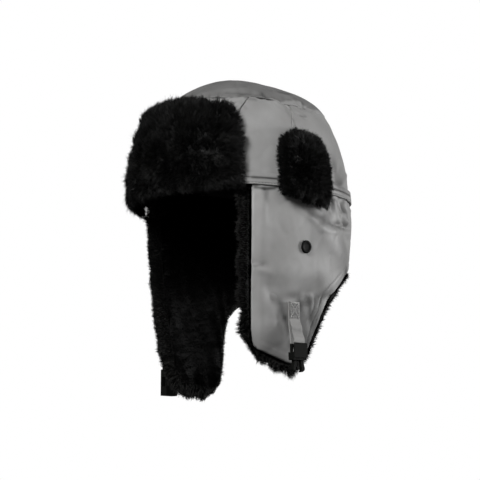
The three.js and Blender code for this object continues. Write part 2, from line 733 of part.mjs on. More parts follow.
const material = (color, roughness) => new THREE.MeshStandardMaterial({ color, roughness, metalness: 0 });
const CLOTH_GREY = material(0x8c8c8a, 0.6);
const LINING_BLACK = material(0x0c0c0c, 0.7);
const PILE_BLACK = material(0x080808, 0.9);
const WEBBING_GREY = material(0x858584, 0.65);
const PLASTIC_BLACK = material(0x161616, 0.4);
const SNAP_BLACK = material(0x1d1d1d, 0.35);

const hat = new THREE.Group();

function addPiece(name, geometry, look) {
  const mesh = new THREE.Mesh(geometry, look);
  mesh.name = name;
  hat.add(mesh);
  return mesh;
}

const frontSeam = (run) => tableValue(FRONT_SEAM, "run", "angle", run);
const sideSeam = (run) => tableValue(SIDE_SEAM, "run", "angle", run);
addPiece("crown_front", crownPanel(frontSeam, (run) => 360 - frontSeam(run), 9), CLOTH_GREY);
addPiece("crown_left", crownPanel(sideSeam, frontSeam, 6), CLOTH_GREY);
addPiece("crown_right", crownPanel((run) => -frontSeam(run), (run) => -sideSeam(run), 6), CLOTH_GREY);
addPiece("crown_back", crownPanel((run) => -sideSeam(run), sideSeam, 18), CLOTH_GREY);
addPiece("crown_top", crownTop(), CLOTH_GREY);
addPiece("crown_band", crownBand(), CLOTH_GREY);
addPiece("crown_lining", crownLining(), LINING_BLACK);
addPiece("curtain_shell", curtainShell(), CLOTH_GREY);
addPiece("curtain_pile", curtainPile(), PILE_BLACK);
addPiece("visor_backing", visorBacking(), CLOTH_GREY);
addPiece("visor_pile", visorPile(), PILE_BLACK);
addPiece("brow_pile", browPile(), PILE_BLACK);

for (const [name, side] of [["left", 1], ["right", -1]]) {
  addPiece(`ear_tab_${name}`, earTab(side), PILE_BLACK);
  placeOnWall(addPiece(`snap_${name}`, snapCap(), SNAP_BLACK), side * SNAP.angle, SNAP.run, SNAP.clear);
}

for (const [name, buckle] of [["left", buckleMale()], ["right", buckleFemale()]]) {
  const { angle, run, clear } = STRAP_PLACES[name];
  placeOnWall(addPiece(`strap_${name}`, strapWebbing(), WEBBING_GREY), angle, run, clear, true);
  const held = addPiece(`buckle_${name}`, buckle, PLASTIC_BLACK);
  placeOnWall(held, angle, run, clear, true);
  held.translateY(-WEBBING.sewn - WEBBING.hang).translateZ(WEBBING.bulge);
}

export default hat;
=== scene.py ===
import math

import bmesh
import bpy
import numpy as np
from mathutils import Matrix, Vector, kdtree


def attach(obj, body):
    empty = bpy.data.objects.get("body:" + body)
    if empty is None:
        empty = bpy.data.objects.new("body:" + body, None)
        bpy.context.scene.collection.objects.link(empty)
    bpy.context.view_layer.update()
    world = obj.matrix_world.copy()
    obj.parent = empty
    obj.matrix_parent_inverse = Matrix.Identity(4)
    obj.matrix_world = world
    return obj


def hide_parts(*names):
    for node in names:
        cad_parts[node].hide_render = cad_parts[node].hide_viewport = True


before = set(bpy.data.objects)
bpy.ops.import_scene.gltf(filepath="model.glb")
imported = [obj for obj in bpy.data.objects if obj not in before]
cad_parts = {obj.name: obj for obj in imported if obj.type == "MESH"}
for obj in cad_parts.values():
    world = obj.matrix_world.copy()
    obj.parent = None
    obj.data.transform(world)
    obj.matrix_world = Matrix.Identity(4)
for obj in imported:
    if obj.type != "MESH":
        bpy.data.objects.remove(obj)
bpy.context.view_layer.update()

MM = 0.001

# The outer cloth surface, as in the frame: sections up the hat, in millimetres. Run is the way up the cloth.
SECTION_RUN = 21.0
SEAM_ROW = 9
SECTION_POWER = 2.25
GIRTH_RADIUS = 92.0
SECTIONS = np.array([  # z, shift, side, front, back
    (-189, 0, 64, 94, 92),
    (-168, 0, 68, 96, 94),
    (-147, 0, 72, 98, 95.5),
    (-126, 0, 75.5, 99.5, 97),
    (-105, 0, 78.5, 101, 98),
    (-84, 0, 81, 102, 99.5),
    (-63, 0, 83, 103, 102.3),
    (-42, 0, 85, 103.5, 103.5),
    (-21, 0, 86, 104, 103),
    (0, 0, 85.5, 103.5, 101.3),
    (21, -0.5, 84, 102, 100.5),
    (41.5, -2, 80.5, 97.5, 98.5),
    (60, -5, 76, 89, 95.5),
    (77, -9, 69, 75, 93),
    (90.5, -12.5, 59.5, 59, 87),
    (100.5, -16, 46.5, 42, 74),
    (107, -19, 28, 24, 49),
    (109.3, -22, 0, 0, 0),
])
APEX_RUN = (len(SECTIONS) - 1 - SEAM_ROW) * SECTION_RUN

# Folds of the frame's cloth: from and to in degrees and millimetres of run, width and lift.
FRAME_FOLDS = (
    (70, -14, 40, -40, 11, -3),
    (84, -24, 54, -58, 12, 2),
    (34, -14, 28, -36, 10, 1.4),
    (116, -94, 78, -92, 11, -3),
    (118, -132, 104, -140, 11, 1.8),
    (54, 14, 44, 44, 11, -2.2),
    (58, 98, 88, 94, 11, -2.6),
    (-68, -14, -44, -42, 11, -2.6),
    (-84, -92, -112, -88, 11, -2.4),
    (-50, 96, -82, 100, 11, -2),
    (10, -10, 4, -44, 11, -2.2),
)
HEM = np.array([  # angle, left run, right run, reach of the pile
    (0, -59, -59, 9),
    (25, -64, -63, 7),
    (42, -72, -71, 3.5),
    (57, -89, -89, 2),
    (67.5, -107, -107, 2.5),
    (75, -130, -163, 2.5),
    (83, -154.5, -175.5, 5.5),
    (94, -160, -176.5, 9),
    (106, -156.5, -173.5, 9.5),
    (118, -151, -173, 9),
    (124.5, -146.5, -163, 7),
    (126.5, -131, -142, 10.5),
])
FLAP_FRONT_ANGLE = HEM[-1, 0]
HEM_BLEND = 1.3
CLOTH = 2.0
PANEL_GAP = 0.4
TOP_PANEL_RUN = 92.0
TOP_PANEL_GAP = 0.9
FRONT_SEAM = np.array([  # run, angle
    (0, 134), (55, 133.5), (66, 132), (77, 128.5), (85, 124.5), (92, 121),
])
SIDE_SEAM = np.array([(0, 95), (60, 93.5), (77, 88), (92, 86.5)])  # run, angle


def clamp(values):
    return np.clip(values, 0, 1)


def bell(values):
    """1 at zero, fading to both sides."""
    return np.exp(-(values**2))


def arc(degrees):
    """Millimetres round the head for an angle, at its mean radius."""
    return np.radians(degrees) * GIRTH_RADIUS


def angle_of(across):
    return np.degrees(across / GIRTH_RADIUS)


def all_round(count):
    """Evenly spaced degrees for one turn."""
    return np.linspace(0, 360, count, endpoint=False)


def grid(columns, rows):
    """Both lists of places as arrays with a column of points for each of the first."""
    return np.meshgrid(columns, rows, indexing="ij")


def length_along(points):
    """Length of a line from its first point to each of its points."""
    return np.concatenate([[0], np.cumsum(np.linalg.norm(np.diff(points, axis=0), axis=1))])


def catmull(a, b, c, d, t):
    """A smooth curve through four even values, between the middle two."""
    return 0.5 * (2 * b + (c - a) * t + (2 * a - 5 * b + 4 * c - d) * t * t + (3 * b - a - 3 * c + d) * t**3)


def table_value(table, place):
    """Smooth value of a table's second column at places along its first, with flat ends."""
    place = np.clip(place, table[0, 0], table[-1, 0])
    row = np.clip(np.searchsorted(table[:, 0], place, side="right") - 1, 0, len(table) - 2)
    near = [table[np.clip(row + step, 0, len(table) - 1), 1] for step in (-1, 0, 1, 2)]
    return catmull(*near, (place - table[row, 0]) / (table[row + 1, 0] - table[row, 0]))


def section_rows():
    """SECTIONS with a row before the first and the mirrored row after the last."""
    beyond = SECTIONS[-2] * (1, -1, -1, -1, -1) + (0, 2 * SECTIONS[-1, 1], 0, 0, 0)
    return np.vstack([SECTIONS[:1], SECTIONS, beyond])


SECTION_ROWS = section_rows()


def section_at(run):
    """z, shift, side, front and back at a run up the cloth from the seam, in millimetres."""
    place = np.clip(SEAM_ROW + np.asarray(run, float) / SECTION_RUN, 0, len(SECTIONS) - 1)
    row = np.minimum(np.floor(place).astype(int), len(SECTIONS) - 2)
    near = [SECTION_ROWS[row + step] for step in range(4)]
    return np.moveaxis(catmull(*near, (place - row)[..., None]), -1, 0)


def surface_point(degrees, run):
    """Point of the surface. 0 degrees is at the back and 90 on the wearer's left."""
    z, shift, side, front, back = section_at(run)
    side, front, back = (np.maximum(value, 1e-6) for value in (side, front, back))
    across, along = np.sin(np.radians(degrees)), np.cos(np.radians(degrees))
    reach = np.where(along > 0, back, front)
    power = np.abs(across / side) ** SECTION_POWER + np.abs(along / reach) ** SECTION_POWER
    radius = power ** (-1 / SECTION_POWER)
    return np.stack([across * radius, shift + along * radius, z + 0 * radius], -1)


def unit(vectors):
    return vectors / np.maximum(np.linalg.norm(vectors, axis=-1, keepdims=True), 1e-9)


def surface_normal(degrees, run):
    step = 0.5
    run = np.minimum(run, APEX_RUN - 1.0)
    round_ = surface_point(degrees + step, run) - surface_point(degrees - step, run)
    up = surface_point(degrees, run + step) - surface_point(degrees, run - step)
    return unit(np.cross(up, round_))


def line_lift(degrees, run, folds):
    """Lift of the cloth by folds that run along lines, each fading to both sides."""
    across = arc(degrees)
    total = np.zeros(np.broadcast(across, run).shape)
    for from_angle, from_run, to_angle, to_run, width, lift in folds:
        x, y = across - arc(from_angle), run - from_run
        dx, dy = arc(to_angle) - arc(from_angle), to_run - from_run
        share = clamp((x * dx + y * dy) / (dx * dx + dy * dy))
        total += lift * bell(np.hypot(x - share * dx, y - share * dy) / width)
    return total


def frame_lift(degrees, run):
    return line_lift(degrees, run, FRAME_FOLDS)


def lattice(ix, iy, iz, seed):
    """A fixed random number from -1 to 1 at each lattice point."""
    key = (ix * 73856093) ^ (iy * 19349663) ^ (iz * 83492791) ^ (seed * 2654435761)
    key = (key ^ (key >> 13)) * 1274126177
    key = (key ^ (key >> 16)) & 0xFFFFFF
    return key / 8388607.5 - 1


def noise(points, seed):
    """Smooth noise from -1 to 1 at points with a last axis of three."""
    base = np.floor(points).astype(np.int64)
    part = points - base
    part = part * part * (3 - 2 * part)
    total = 0
    for corner in range(8):
        bits = [(corner >> axis) & 1 for axis in range(3)]
        weight = np.prod([part[..., k] if bits[k] else 1 - part[..., k] for k in range(3)], axis=0)
        total = total + weight * lattice(*(base[..., k] + bits[k] for k in range(3)), seed)
    return total


def flat_noise(across, run, seed):
    """Smooth noise on the cloth laid flat."""
    return noise(np.stack(np.broadcast_arrays(across, run, 0.5), -1), seed)


def ring_points(degrees, radius, height):
    """Points for noise that closes on itself round the head."""
    turn = np.radians(degrees)
    return np.stack([np.cos(turn) * radius, np.sin(turn) * radius, height], -1)


# Finer folds that only the looks have, in the same columns as FRAME_FOLDS.
FINE_FOLDS = (
    (98.5, -18, 77, -25, 5, -1.2),
    (95.5, -21.5, 87, -28.5, 2.6, 0.8),
    (87, -28.5, 77, -37, 2.6, 0.8),
    (77, -37, 63, -37, 2.8, 0.7),
    (65, -9, 61, -27, 1.8, 0.9),
    (58.5, -10, 44, -19, 2.2, -1.3),
    (51.5, -4.5, 37, -9.5, 2.0, 0.9),
    (121, -8, 119, -40, 2.2, 0.6),
    (117, -8, 116, -34, 2.2, -0.6),
    (64, -8, 54, -30, 3.2, 1.8),
    (57, -6, 49, -28, 3.0, -1.8),
    (51, -6, 44, -24, 3.0, 1.8),
    (66, -30, 38, -27, 3.0, -1.9),
    (64, -35, 38, -32, 4, 1.0),
    (126, -72, 119, -75, 2.2, -1.4),
    (126, -78, 116, -81, 3.5, 0.9),
    (104, -94, 84, -92, 13, 1.3),
    (112, -103, 84, -103, 5, -1.3),
    (112, -104, 104, -132, 5, -1.0),
    (86, -104, 80, -124, 5, -0.6),
    (120, -4, 119, -150, 4, 0.3),
    (116, -20, 115, -120, 5, -0.3),
    (112, -96, 95, -104, 8, -1.4),
    (90, -96, 62, -100, 7, -1.2),
    (112, -128, 98, -140, 6, 0.8),
    (126, -3, 121, -4.5, 1.4, 0.8),
    (121, -4.5, 113, -3, 1.4, 0.8),
    (116, 99, 108, 96, 3, -1.7),
    (106, 95, 94, 99, 3.2, -2.0),
    (134, 96, 118, 100, 5, -1.2),
    (160, 100, 120, 108, 5, 1.0),
    (70, 94, 54, 95, 3.6, -2.2),
    (60, 96, 46, 101, 4, -1.6),
    (92, 108, 60, 104, 4, 1.2),
    (83, 78, 75, 74.5, 1.8, -1.5),
    (100, 84, 92, 78, 3, -0.8),
    (60, 12, 44, 34, 4, -1.0),
    (52, 10, 40, 24, 3, 1.3),
    (26, -5, 22, -22, 3.5, 0.8),
    (-60, -6, -48, -28, 4, 1.0),
    (-104, -60, -92, -70, 6, -0.8),
    (-84, -30, -60, -52, 7, 0.9),
    (-20, -6, -26, -30, 4, 0.9),
    (-112, 104, -98, 97, 4, -1.2),
    (-124, -90, -100, -104, 6, 0.8),
    (20, 20, 2, 40, 7, -0.8),
    (-30, 60, -10, 72, 6, -0.8),
)

# Painted shade of the cloth, mostly in its folds and creases, where shade falls: the same columns, with an
# amount instead of a lift.
SHADES = (
    (98, -18, 76, -25, 6, 0.42),
    (86, -25, 70, -30, 5, 0.3),
    (80, -32.5, 43, -26, 2.4, 0.36),
    (60.5, -9.5, 45.5, -19, 2.4, 0.6),
    (69.5, -14, 66, -19.5, 2.2, 0.5),
    (59, 27, 54, 10, 9, 0.48),
    (66, 10, 60, 6, 3, 0.3),
    (84, -50, 48, -56, 15, 0.3),
    (82, -76, 62, -86, 11, 0.16),
    (125.5, -76, 120, -74.5, 1.5, 0.3),
    (111, -104, 92, -99, 4.4, 0.36),
    (107, -108, 104, -120, 3.6, 0.42),
    (90, -109, 74, -112, 6, 0.4),
    (87, -110, 84, -138, 10, 0.5),
    (81, -106, 76, -130, 12, 0.34),
    (84, -101, 70, -98, 4, 0.36),
    (75, -109, 77, -138, 5, 0.4),
    (75.5, -101.5, 70, -106, 3, 0.34),
    (73, -103, 64, -90, 4.5, 0.42),
    (107.5, -144.5, 102, -148.5, 4, 0.12),
    (103, -120, 98, -144, 3, 0.4),
    (116, -114, 112, -140, 8, 0.12),
    (116, -92, 114, -104, 5, 0.14),
    (44, -70, 43, -78, 5, 0.75),
    (79, 76, 73, 76.5, 1.3, 0.4),
    (82.5, 90, 87, 80.5, 1.2, 0.3),
    (90, 68.5, 91, 59, 1.2, 0.35),
    (91, 87, 92, 71.5, 2.5, 0.16),
    (122.5, 88, 116.5, 87, 1.8, 0.35),
    (108, 99, 106, 94, 2.4, 0.3),
    (85, 110.5, 66, 114, 2.4, 0.3),
    (58, 104, 60, 92, 2.6, 0.5),
    (139, 98.5, 121, 98.5, 1.4, 0.2),
    (129, 84, 126, 74.5, 1.6, 0.2),
    (125, -5.2, 120, -6.6, 1.2, 0.75),
    (120, -6.6, 113, -5, 1.2, 0.75),
    (127, 2.8, 112, 3.2, 1.2, 0.6),
    (67.5, 2.6, 36, 3.4, 1.2, 0.5),
    (-86, -110, -81, -138, 9, 0.3),
    (-70, -24, -96, -20, 6, 0.3),
)
# TOP_SHADE is painted shade on the crown's top, which faces away from the light, beginning at TOP_SHADE_EDGE.
BASE_SHADE, TOP_SHADE, MOST_SHADE = 0.09, 0.42, 0.9
TOP_SHADE_EDGE = np.array([  # degrees from the back, run where the crown's darker top begins
    (0, 97), (50, 97), (62, 103), (78, 99), (92, 95), (111, 91), (180, 91),
])


def shade(degrees, run):
    """How much painted shade darkens the cloth, from 0 to MOST_SHADE: in its folds and on the top that faces
    away from the light, with a little random tone. The last number of each noise picks its pattern.
    """
    turn = (np.asarray(degrees, float) + 180) % 360 - 180
    dark = line_lift(turn, run, SHADES)
    around = ring_points(turn, 16, run / 7)
    past = run - np.interp(np.abs(turn), *TOP_SHADE_EDGE.T) + 1.6 * noise(around, 91)
    # Painted shade on the crown's top and in the dark gathers along its edge.
    dark = dark + TOP_SHADE * clamp(past / 1.2 + 0.5)
    dark = dark + 0.3 * bell((past - 2) / 4) * clamp(noise(around * (1.6, 1.6, 1), 92))
    return np.clip(dark + BASE_SHADE + 0.06 * noise(around / (3, 3, 2), 93), 0, MOST_SHADE)


def cloth_lift(degrees, run, calm=1.0):
    """Folds and small unevenness of the cloth in millimetres."""
    across = arc(degrees)
    lift = frame_lift(degrees, run) + line_lift(degrees, run, FINE_FOLDS)
    broad = flat_noise(across / 31, run / 40, 3)
    crease = (1 - np.abs(flat_noise(across / 19 + run / 50, run / 27, 5))) ** 7
    crumple = (1 - np.abs(flat_noise(across / 9 - run / 30, run / 13, 6))) ** 5
    return lift + calm * (0.8 * broad - 0.5 * crease - 0.16 * crumple)


def wall(degrees, run, offset, lift=None):
    """Points of the hat's cloth surface, in metres."""
    degrees, run = np.broadcast_arrays(np.asarray(degrees, float), np.asarray(run, float))
    lift = cloth_lift(degrees, run) if lift is None else lift
    out = surface_normal(degrees, run)
    return (surface_point(degrees, run) + out * (offset + lift)[..., None]) * MM


# Mesh making.
def add_smooth(name, mesh):
    mesh.polygons.foreach_set("use_smooth", np.ones(len(mesh.polygons), bool))
    made = bpy.data.objects.new(name, mesh)
    bpy.context.scene.collection.objects.link(made)
    return made


def new_object(name, points, faces, uv=None):
    """A smooth mesh from numpy corners and a list of equal-sided face arrays."""
    mesh = bpy.data.meshes.new(name)
    counts = np.concatenate([np.full(len(part), part.shape[1]) for part in faces])
    corners = np.concatenate([part.ravel() for part in faces])
    mesh.vertices.add(len(points))
    mesh.vertices.foreach_set("co", np.asarray(points, np.float32).ravel())
    mesh.loops.add(len(corners))
    mesh.loops.foreach_set("vertex_index", corners.astype(np.int32))
    mesh.polygons.add(len(counts))
    starts = np.concatenate([[0], np.cumsum(counts)[:-1]])
    mesh.polygons.foreach_set("loop_start", starts.astype(np.int32))
    if uv is not None:
        layer = mesh.uv_layers.new(name="cut")
        layer.data.foreach_set("uv", np.asarray(uv, np.float32)[corners].ravel())
    mesh.update(calc_edges=True)
    mesh.validate()
    return add_smooth(name, mesh)


def set_attribute(made, name, values):
    attribute = made.data.attributes.new(name, "FLOAT", "POINT")
    attribute.data.foreach_set("value", values.ravel().astype(np.float32))


def finish_piece(piece, material, slot, *nodes):
    """A piece that rides on the hat and takes the place of the nodes named."""
    piece.data.materials.append(material)
    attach(piece, "root")
    if nodes:
        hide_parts(*nodes)


def grid_faces(columns, rows, start=0, ring=False, flip=False):
    """Quads of a grid whose corner (i, j) is number start + i * rows + j."""
    i, j = (part.ravel() for part in grid(np.arange(columns if ring else columns - 1), np.arange(rows - 1)))
    after = (i + 1) % columns
    quads = np.stack([i * rows + j, after * rows + j, after * rows + j + 1, i * rows + j + 1], -1)
    return (quads[:, ::-1] if flip else quads) + start


def cloth_shell(name, node, outer, inner, uv, tone_and_painted_shade=None, ring=False, look=None, slot="shell_cloth"):
    """A closed shell in the node's place, between two grids of points, with a rim round its open edges.

    uv is two grids of places on the cloth. The next argument is how much darker the cloth is at each point,
    as painted shade with some random tone, on both faces or on each."""
    columns, rows = outer.shape[:2]
    count = columns * rows
    faces = [grid_faces(columns, rows, 0, ring, flip=True), grid_faces(columns, rows, count, ring)]
    index = np.arange(count).reshape(columns, rows)
    if ring:
        loops = [np.append(index[:, 0], index[0, 0]), np.append(index[:, -1], index[0, -1])[::-1]]
    else:
        loops = [np.concatenate([index[:, 0], index[-1, 1:], index[-2::-1, -1], index[0, -2::-1]])]
    for loop in loops:
        faces.append(np.stack([loop[:-1], loop[1:], loop[1:] + count, loop[:-1] + count], -1))
    points = np.concatenate([outer.reshape(-1, 3), inner.reshape(-1, 3)])
    places = np.stack(np.broadcast_arrays(*uv), -1).reshape(-1, 2)
    made = new_object(name, points, faces, np.concatenate([places] * 2))
    if tone_and_painted_shade is not None:
        set_attribute(made, "tone_and_painted_shade", np.clip(np.broadcast_to(tone_and_painted_shade, (2, columns, rows)), 0, MOST_SHADE))
    finish_piece(made, look or CLOTH_LOOK, slot, node)
    return made


def spaced(low, high, step, fine=(0.0, 0.35, 0.8, 1.4, 2.2)):
    """Places from low to high about a step apart, closer together at both ends."""
    inner = np.linspace(low + fine[-1], high - fine[-1], max(int((high - low) / step), 2) + 1)
    return np.unique(np.concatenate([low + np.array(fine), inner, high - np.array(fine)]).round(4))


EDGE_ROLL, EDGE_DROP = 1.5, 1.1
MESH_STEP = 1.7


def edge_profile(distance):
    """Drop of a turned-in cloth edge at a distance from it, in millimetres."""
    inside = clamp(1 - distance / EDGE_ROLL)
    return -EDGE_DROP * (1 - np.sqrt(1 - np.minimum(inside, 0.999) ** 2))


def pucker(distance, along, seed, size=0.45, reach=7.0, pitch=4.2):
    """Small gathers that stand across a seam and fade away from it."""
    wave = flat_noise(along / pitch, distance / 14, seed)
    broad = flat_noise(along / (pitch * 3.1), distance / 30, seed + 1)
    return size * np.exp(-distance / reach) * (wave + 0.8 * broad)


def crown_panel(name, node, from_seam, to_seam, seed):
    """A side panel between two seams, each given as the degrees at a run."""
    high = TOP_PANEL_RUN - TOP_PANEL_GAP
    run = spaced(0.0, high, MESH_STEP)[None, :]
    start, end = arc(from_seam(run)) + PANEL_GAP / 2, arc(to_seam(run)) - PANEL_GAP / 2
    width = float((end - start).mean())
    across = start + (end - start) * spaced(0.0, width, MESH_STEP)[:, None] / width
    run = run + 0 * across
    degrees = angle_of(across)
    narrowing = np.linalg.norm(surface_point(degrees, run)[..., :2], axis=-1) / GIRTH_RADIUS
    sides, top = np.minimum(across - start, end - across) * narrowing, high - run
    lift = cloth_lift(degrees, run, 0.8) + pucker(sides, run, seed, 0.4, 5)
    lift += pucker(top, across, seed + 7, 1.1, 7, 3.6) + pucker(run, across, seed + 11, 0.3, 6)
    outer = wall(degrees, run, edge_profile(np.minimum(sides, top)), lift)
    inner = wall(degrees, run, -CLOTH, frame_lift(degrees, run))
    cloth_shell(name, node, outer, inner, (across, run), shade(degrees, run))


def crown_top():
    rows = np.append([0, 0.35, 0.8, 1.4], np.linspace(2.2, APEX_RUN - TOP_PANEL_RUN - 0.05, 40))
    degrees, edge = grid(all_round(180), rows)
    run = TOP_PANEL_RUN + edge
    flat = surface_point(degrees, run)
    gather = noise(ring_points(degrees, 13, 0 * run), 41) + 0.8 * noise(ring_points(degrees, 5, 0 * run), 42)
    away = np.linalg.norm(flat[..., :2], axis=-1)
    ripple = noise(ring_points(degrees, 3.2, away / 8.5), 44)
    crease = (1 - np.abs(noise(ring_points(degrees, 4.5, away / 13), 45))) ** 6
    fade = clamp((APEX_RUN - run) / 20)
    calm = clamp((APEX_RUN - run - 18) / 30)  # no creases where all directions meet
    frame_folds = frame_lift(degrees, run) * fade
    lift = frame_folds + line_lift(degrees, run, FINE_FOLDS) * fade + 0.7 * noise(flat / (30, 24, 30), 43)
    lift += (0.75 * ripple - 0.9 * crease) * calm + 1.1 * np.exp(-edge / 8) * gather
    outer, inner = wall(degrees, run, edge_profile(edge), lift), wall(degrees, run, -CLOTH, frame_folds)
    places = flat[..., 0], flat[..., 1]
    cloth_shell("top_panel", "crown_top", outer, inner, places, shade(degrees, run), ring=True)


# The curtain's hem as a curve, and places on the curtain.
def hem_curve(column):
    points = np.stack([arc(HEM[:, 0]), HEM[:, column]], -1)
    rows = np.vstack([points[:1], points, points[-1:]])
    place = np.linspace(0, len(points) - 1, 900)
    row = np.minimum(place.astype(int), len(points) - 2)
    curve = catmull(*(rows[row + k] for k in range(4)), (place - row)[:, None])
    pile = np.interp(curve[:, 0], points[:, 0], HEM[:, 3])
    length = length_along(curve)
    share = length / length[-1]
    return share, (*curve.T, *(np.gradient(line, share) for line in curve.T), pile)


HEM_CURVES = hem_curve(1), hem_curve(2)


def hem_at(column):
    """Across, run, outward direction and pile reach of the hem, for column 0 (right) to 1 (left)."""
    column = np.asarray(column, float)
    share, is_left = np.abs(2 * column - 1), column >= 0.5
    sides = [[np.interp(share, shares, values) for values in lines] for shares, lines in HEM_CURVES]
    across, run, ahead, fall, pile = (np.where(is_left, *pair) for pair in zip(*sides))
    sign = np.where(is_left, 1, -1)
    along = unit(np.stack([ahead, fall], -1))
    return across * sign, run, np.stack([along[..., 1] * sign, -np.abs(along[..., 0])], -1), pile


def curtain_place(column, share):
    across, run, _, _ = hem_at(column)
    top = arc(FLAP_FRONT_ANGLE) * (2 * column - 1)
    return across + (top - across) * share**HEM_BLEND, run + (-PANEL_GAP - run) * share


HEM_STITCH = 8.0


def curtain_shell():
    column, share = grid(
        np.concatenate([np.linspace(0, 0.012, 5), np.linspace(0.018, 0.982, 190), np.linspace(0.988, 1, 5)]),
        np.concatenate([np.linspace(0, 0.02, 5), np.linspace(0.03, 0.9, 70), np.linspace(0.91, 1, 14)]))
    across, run = curtain_place(column, share)
    degrees = angle_of(across)
    hem_across, hem_run, out, _ = hem_at(column)
    to_hem = -((across - hem_across) * out[..., 0] + (run - hem_run) * out[..., 1])
    front = arc(FLAP_FRONT_ANGLE) - np.abs(across)
    to_edge = np.maximum(np.minimum(to_hem, front), 0)
    lift = cloth_lift(degrees, run)
    lift += pucker(-run, across, 71, 0.7, 9, 6) + pucker(to_edge, across + run, 73, 0.35, 6, 6)
    groove = -0.35 * bell((to_edge - HEM_STITCH) / 0.9)
    lean = -1.3 * clamp(1 - front / HEM_STITCH)
    outer = wall(degrees, run, edge_profile(to_edge) + groove + lean, lift)
    inner = wall(degrees, run, -CLOTH, frame_lift(degrees, run))
    # Painted shade: the flaps darken towards their tips, which face down and away from the light, most along
    # the hem at the tip; a painted lighter strip runs along each front edge, which faces the light. Random
    # tone and the cloth's other painted shade are added.
    down, tip = clamp((-run - 50) / 90), clamp((-run - 125) / 30)
    painted_front_light = BASE_SHADE * clamp((HEM_STITCH + 1 - front) / 2)
    tone_and_painted_shade = 0.14 * down + 0.4 * tip * np.exp(-((to_edge / 8) ** 1.5)) - painted_front_light
    tone_and_painted_shade = tone_and_painted_shade * (1 + 0.25 * flat_noise(across / 16, run / 16, 77)) + shade(degrees, run)
    piece = cloth_shell("curtain_cloth", "curtain_shell", outer, inner, (across, run), tone_and_painted_shade)


BAND_LOW, BAND_HIGH, BAND_BASE, BAND_FACE = -3.0, 8.0, 1.0, 2.3
BAND_ROWS = ((-1.4, 0.5), (3.0, 1.0))  # run of a row of stitches, depth of its groove
BAND_STITCHES = 190


def band_surface(degrees, run):
    """Points of the band's face, which dips along both rows of stitches and puckers."""
    edge = np.minimum(run - BAND_LOW, BAND_HIGH - run)
    around = ring_points(degrees, 9, run / 9)
    soft = 0.25 * noise(around, 31) + 0.16 * noise(around * (3.2, 3.2, 0.4), 32)
    groove = sum(-depth * bell((run - row) / 0.6) for row, depth in BAND_ROWS)
    roll = -0.9 * (1 - np.sqrt(clamp(1 - clamp(1 - edge / 0.8) ** 2)))
    return wall(degrees, run, BAND_FACE + roll + groove, cloth_lift(degrees, run, 0) + soft)


def crown_band():
    steps = np.array([0, 0.15, 0.4, 0.8])
    rows = np.concatenate([BAND_LOW + steps, np.arange(-1.8, 7.1, 0.4), BAND_HIGH - steps[::-1]])
    degrees, run = grid(all_round(420), rows)
    inner = wall(degrees, run, BAND_BASE, cloth_lift(degrees, run, 0))
    outer, places = band_surface(degrees, run), (arc(degrees), run)
    cloth_shell("band", "crown_band", outer, inner, places, shade(degrees, run), ring=True)


def stitches(name, material, slot, places, along, out, half_length, radius):
    """Thread ends at places in metres, each a small spindle along its direction."""
    across = unit(np.cross(along, out))
    corners = [places - along * half_length * MM]
    for level, size in ((-0.6, 0.8), (0.0, 1.0), (0.6, 0.8)):
        for turn in np.radians(np.arange(6) * 60):
            spoke = (out * np.cos(turn) + across * np.sin(turn)) * radius * size
            corners.append(places + (along * half_length * level + spoke) * MM)
    corners.append(places + along * half_length * MM)
    points = np.stack(corners, 1)
    k = np.arange(6)
    after = (k + 1) % 6
    belt = np.concatenate([np.stack([k, after, after + 6, k + 6], -1) + 1 + 6 * level for level in (0, 1)])
    caps = np.concatenate([[0 * k, after + 1, k + 1], [0 * k + 19, k + 13, after + 13]], axis=1).T
    first = np.arange(len(places))[:, None, None] * points.shape[1]
    faces = [(first + belt).reshape(-1, 4), (first + caps).reshape(-1, 3)]
    finish_piece(new_object(name, points.reshape(-1, 3), faces), material, slot)


def band_stitches():
    degrees = np.tile(np.arange(BAND_STITCHES) * 360 / BAND_STITCHES, 2)
    run = np.repeat([row for row, _ in BAND_ROWS], BAND_STITCHES)
    here = band_surface(degrees, run)
    along = unit(band_surface(degrees + 0.5, run) - here)
    out = surface_normal(degrees, 0.0)
    stitches("band_stitches", THREAD_DARK, "shell_cloth", here + out * 0.05 * MM, along, out, 1.15, 0.2)


LINING_FOOT, LINING_OUTER, LINING_INNER = 18.6, -4.2, -5.0
QUILT_STEP, QUILT_DEPTH = 24.0, 1.3


def crown_lining():
    degrees, run = grid(all_round(200), np.linspace(LINING_FOOT, APEX_RUN - 0.05, 60))
    across = arc(degrees)
    up, down = (np.abs((((across + sign * run) / QUILT_STEP) % 1) - 0.5) * 2 for sign in (1, -1))
    quilt = QUILT_DEPTH * np.sqrt(clamp(np.minimum(1 - up, 1 - down))) * clamp((APEX_RUN - run) / 40)
    lift = frame_lift(degrees, run)
    outer, inner = wall(degrees, run, LINING_OUTER, lift), wall(degrees, run, LINING_INNER - quilt, lift)
    cloth_shell("lining", "crown_lining", outer, inner, (across, run), ring=True,
                look=LINING_LOOK, slot="lining_cloth")


VISOR_FROM, VISOR_TO = 132.4, 231.0
VISOR_DROP = np.array([  # angle, drop of the top edge
    (132.4, 22), (134.8, 13), (138.5, 9), (145, 7), (153, 4.5), (166, 0.5), (180, 0), (210, -0.5),
    (220, -6.5), (228, -9), (231, -5),
])
VISOR_LOW, VISOR_HIGH, VISOR_INNER, VISOR_OUTER = 2.0, 78.5, 3.1, 4.3


def visor_backing():
    degrees, share = grid(np.linspace(VISOR_FROM, VISOR_TO, 90), np.linspace(0, 1, 40))
    run = VISOR_LOW + (VISOR_HIGH - table_value(VISOR_DROP, degrees) - VISOR_LOW) * share
    across = arc(degrees)
    lift = frame_lift(degrees, run) + 0.15 * flat_noise(across / 20, run / 20, 51)
    outer, inner = wall(degrees, run, VISOR_OUTER, lift), wall(degrees, run, VISOR_INNER, lift)
    cloth_shell("visor_cloth", "visor_backing", outer, inner, (across, run), shade(degrees, run))


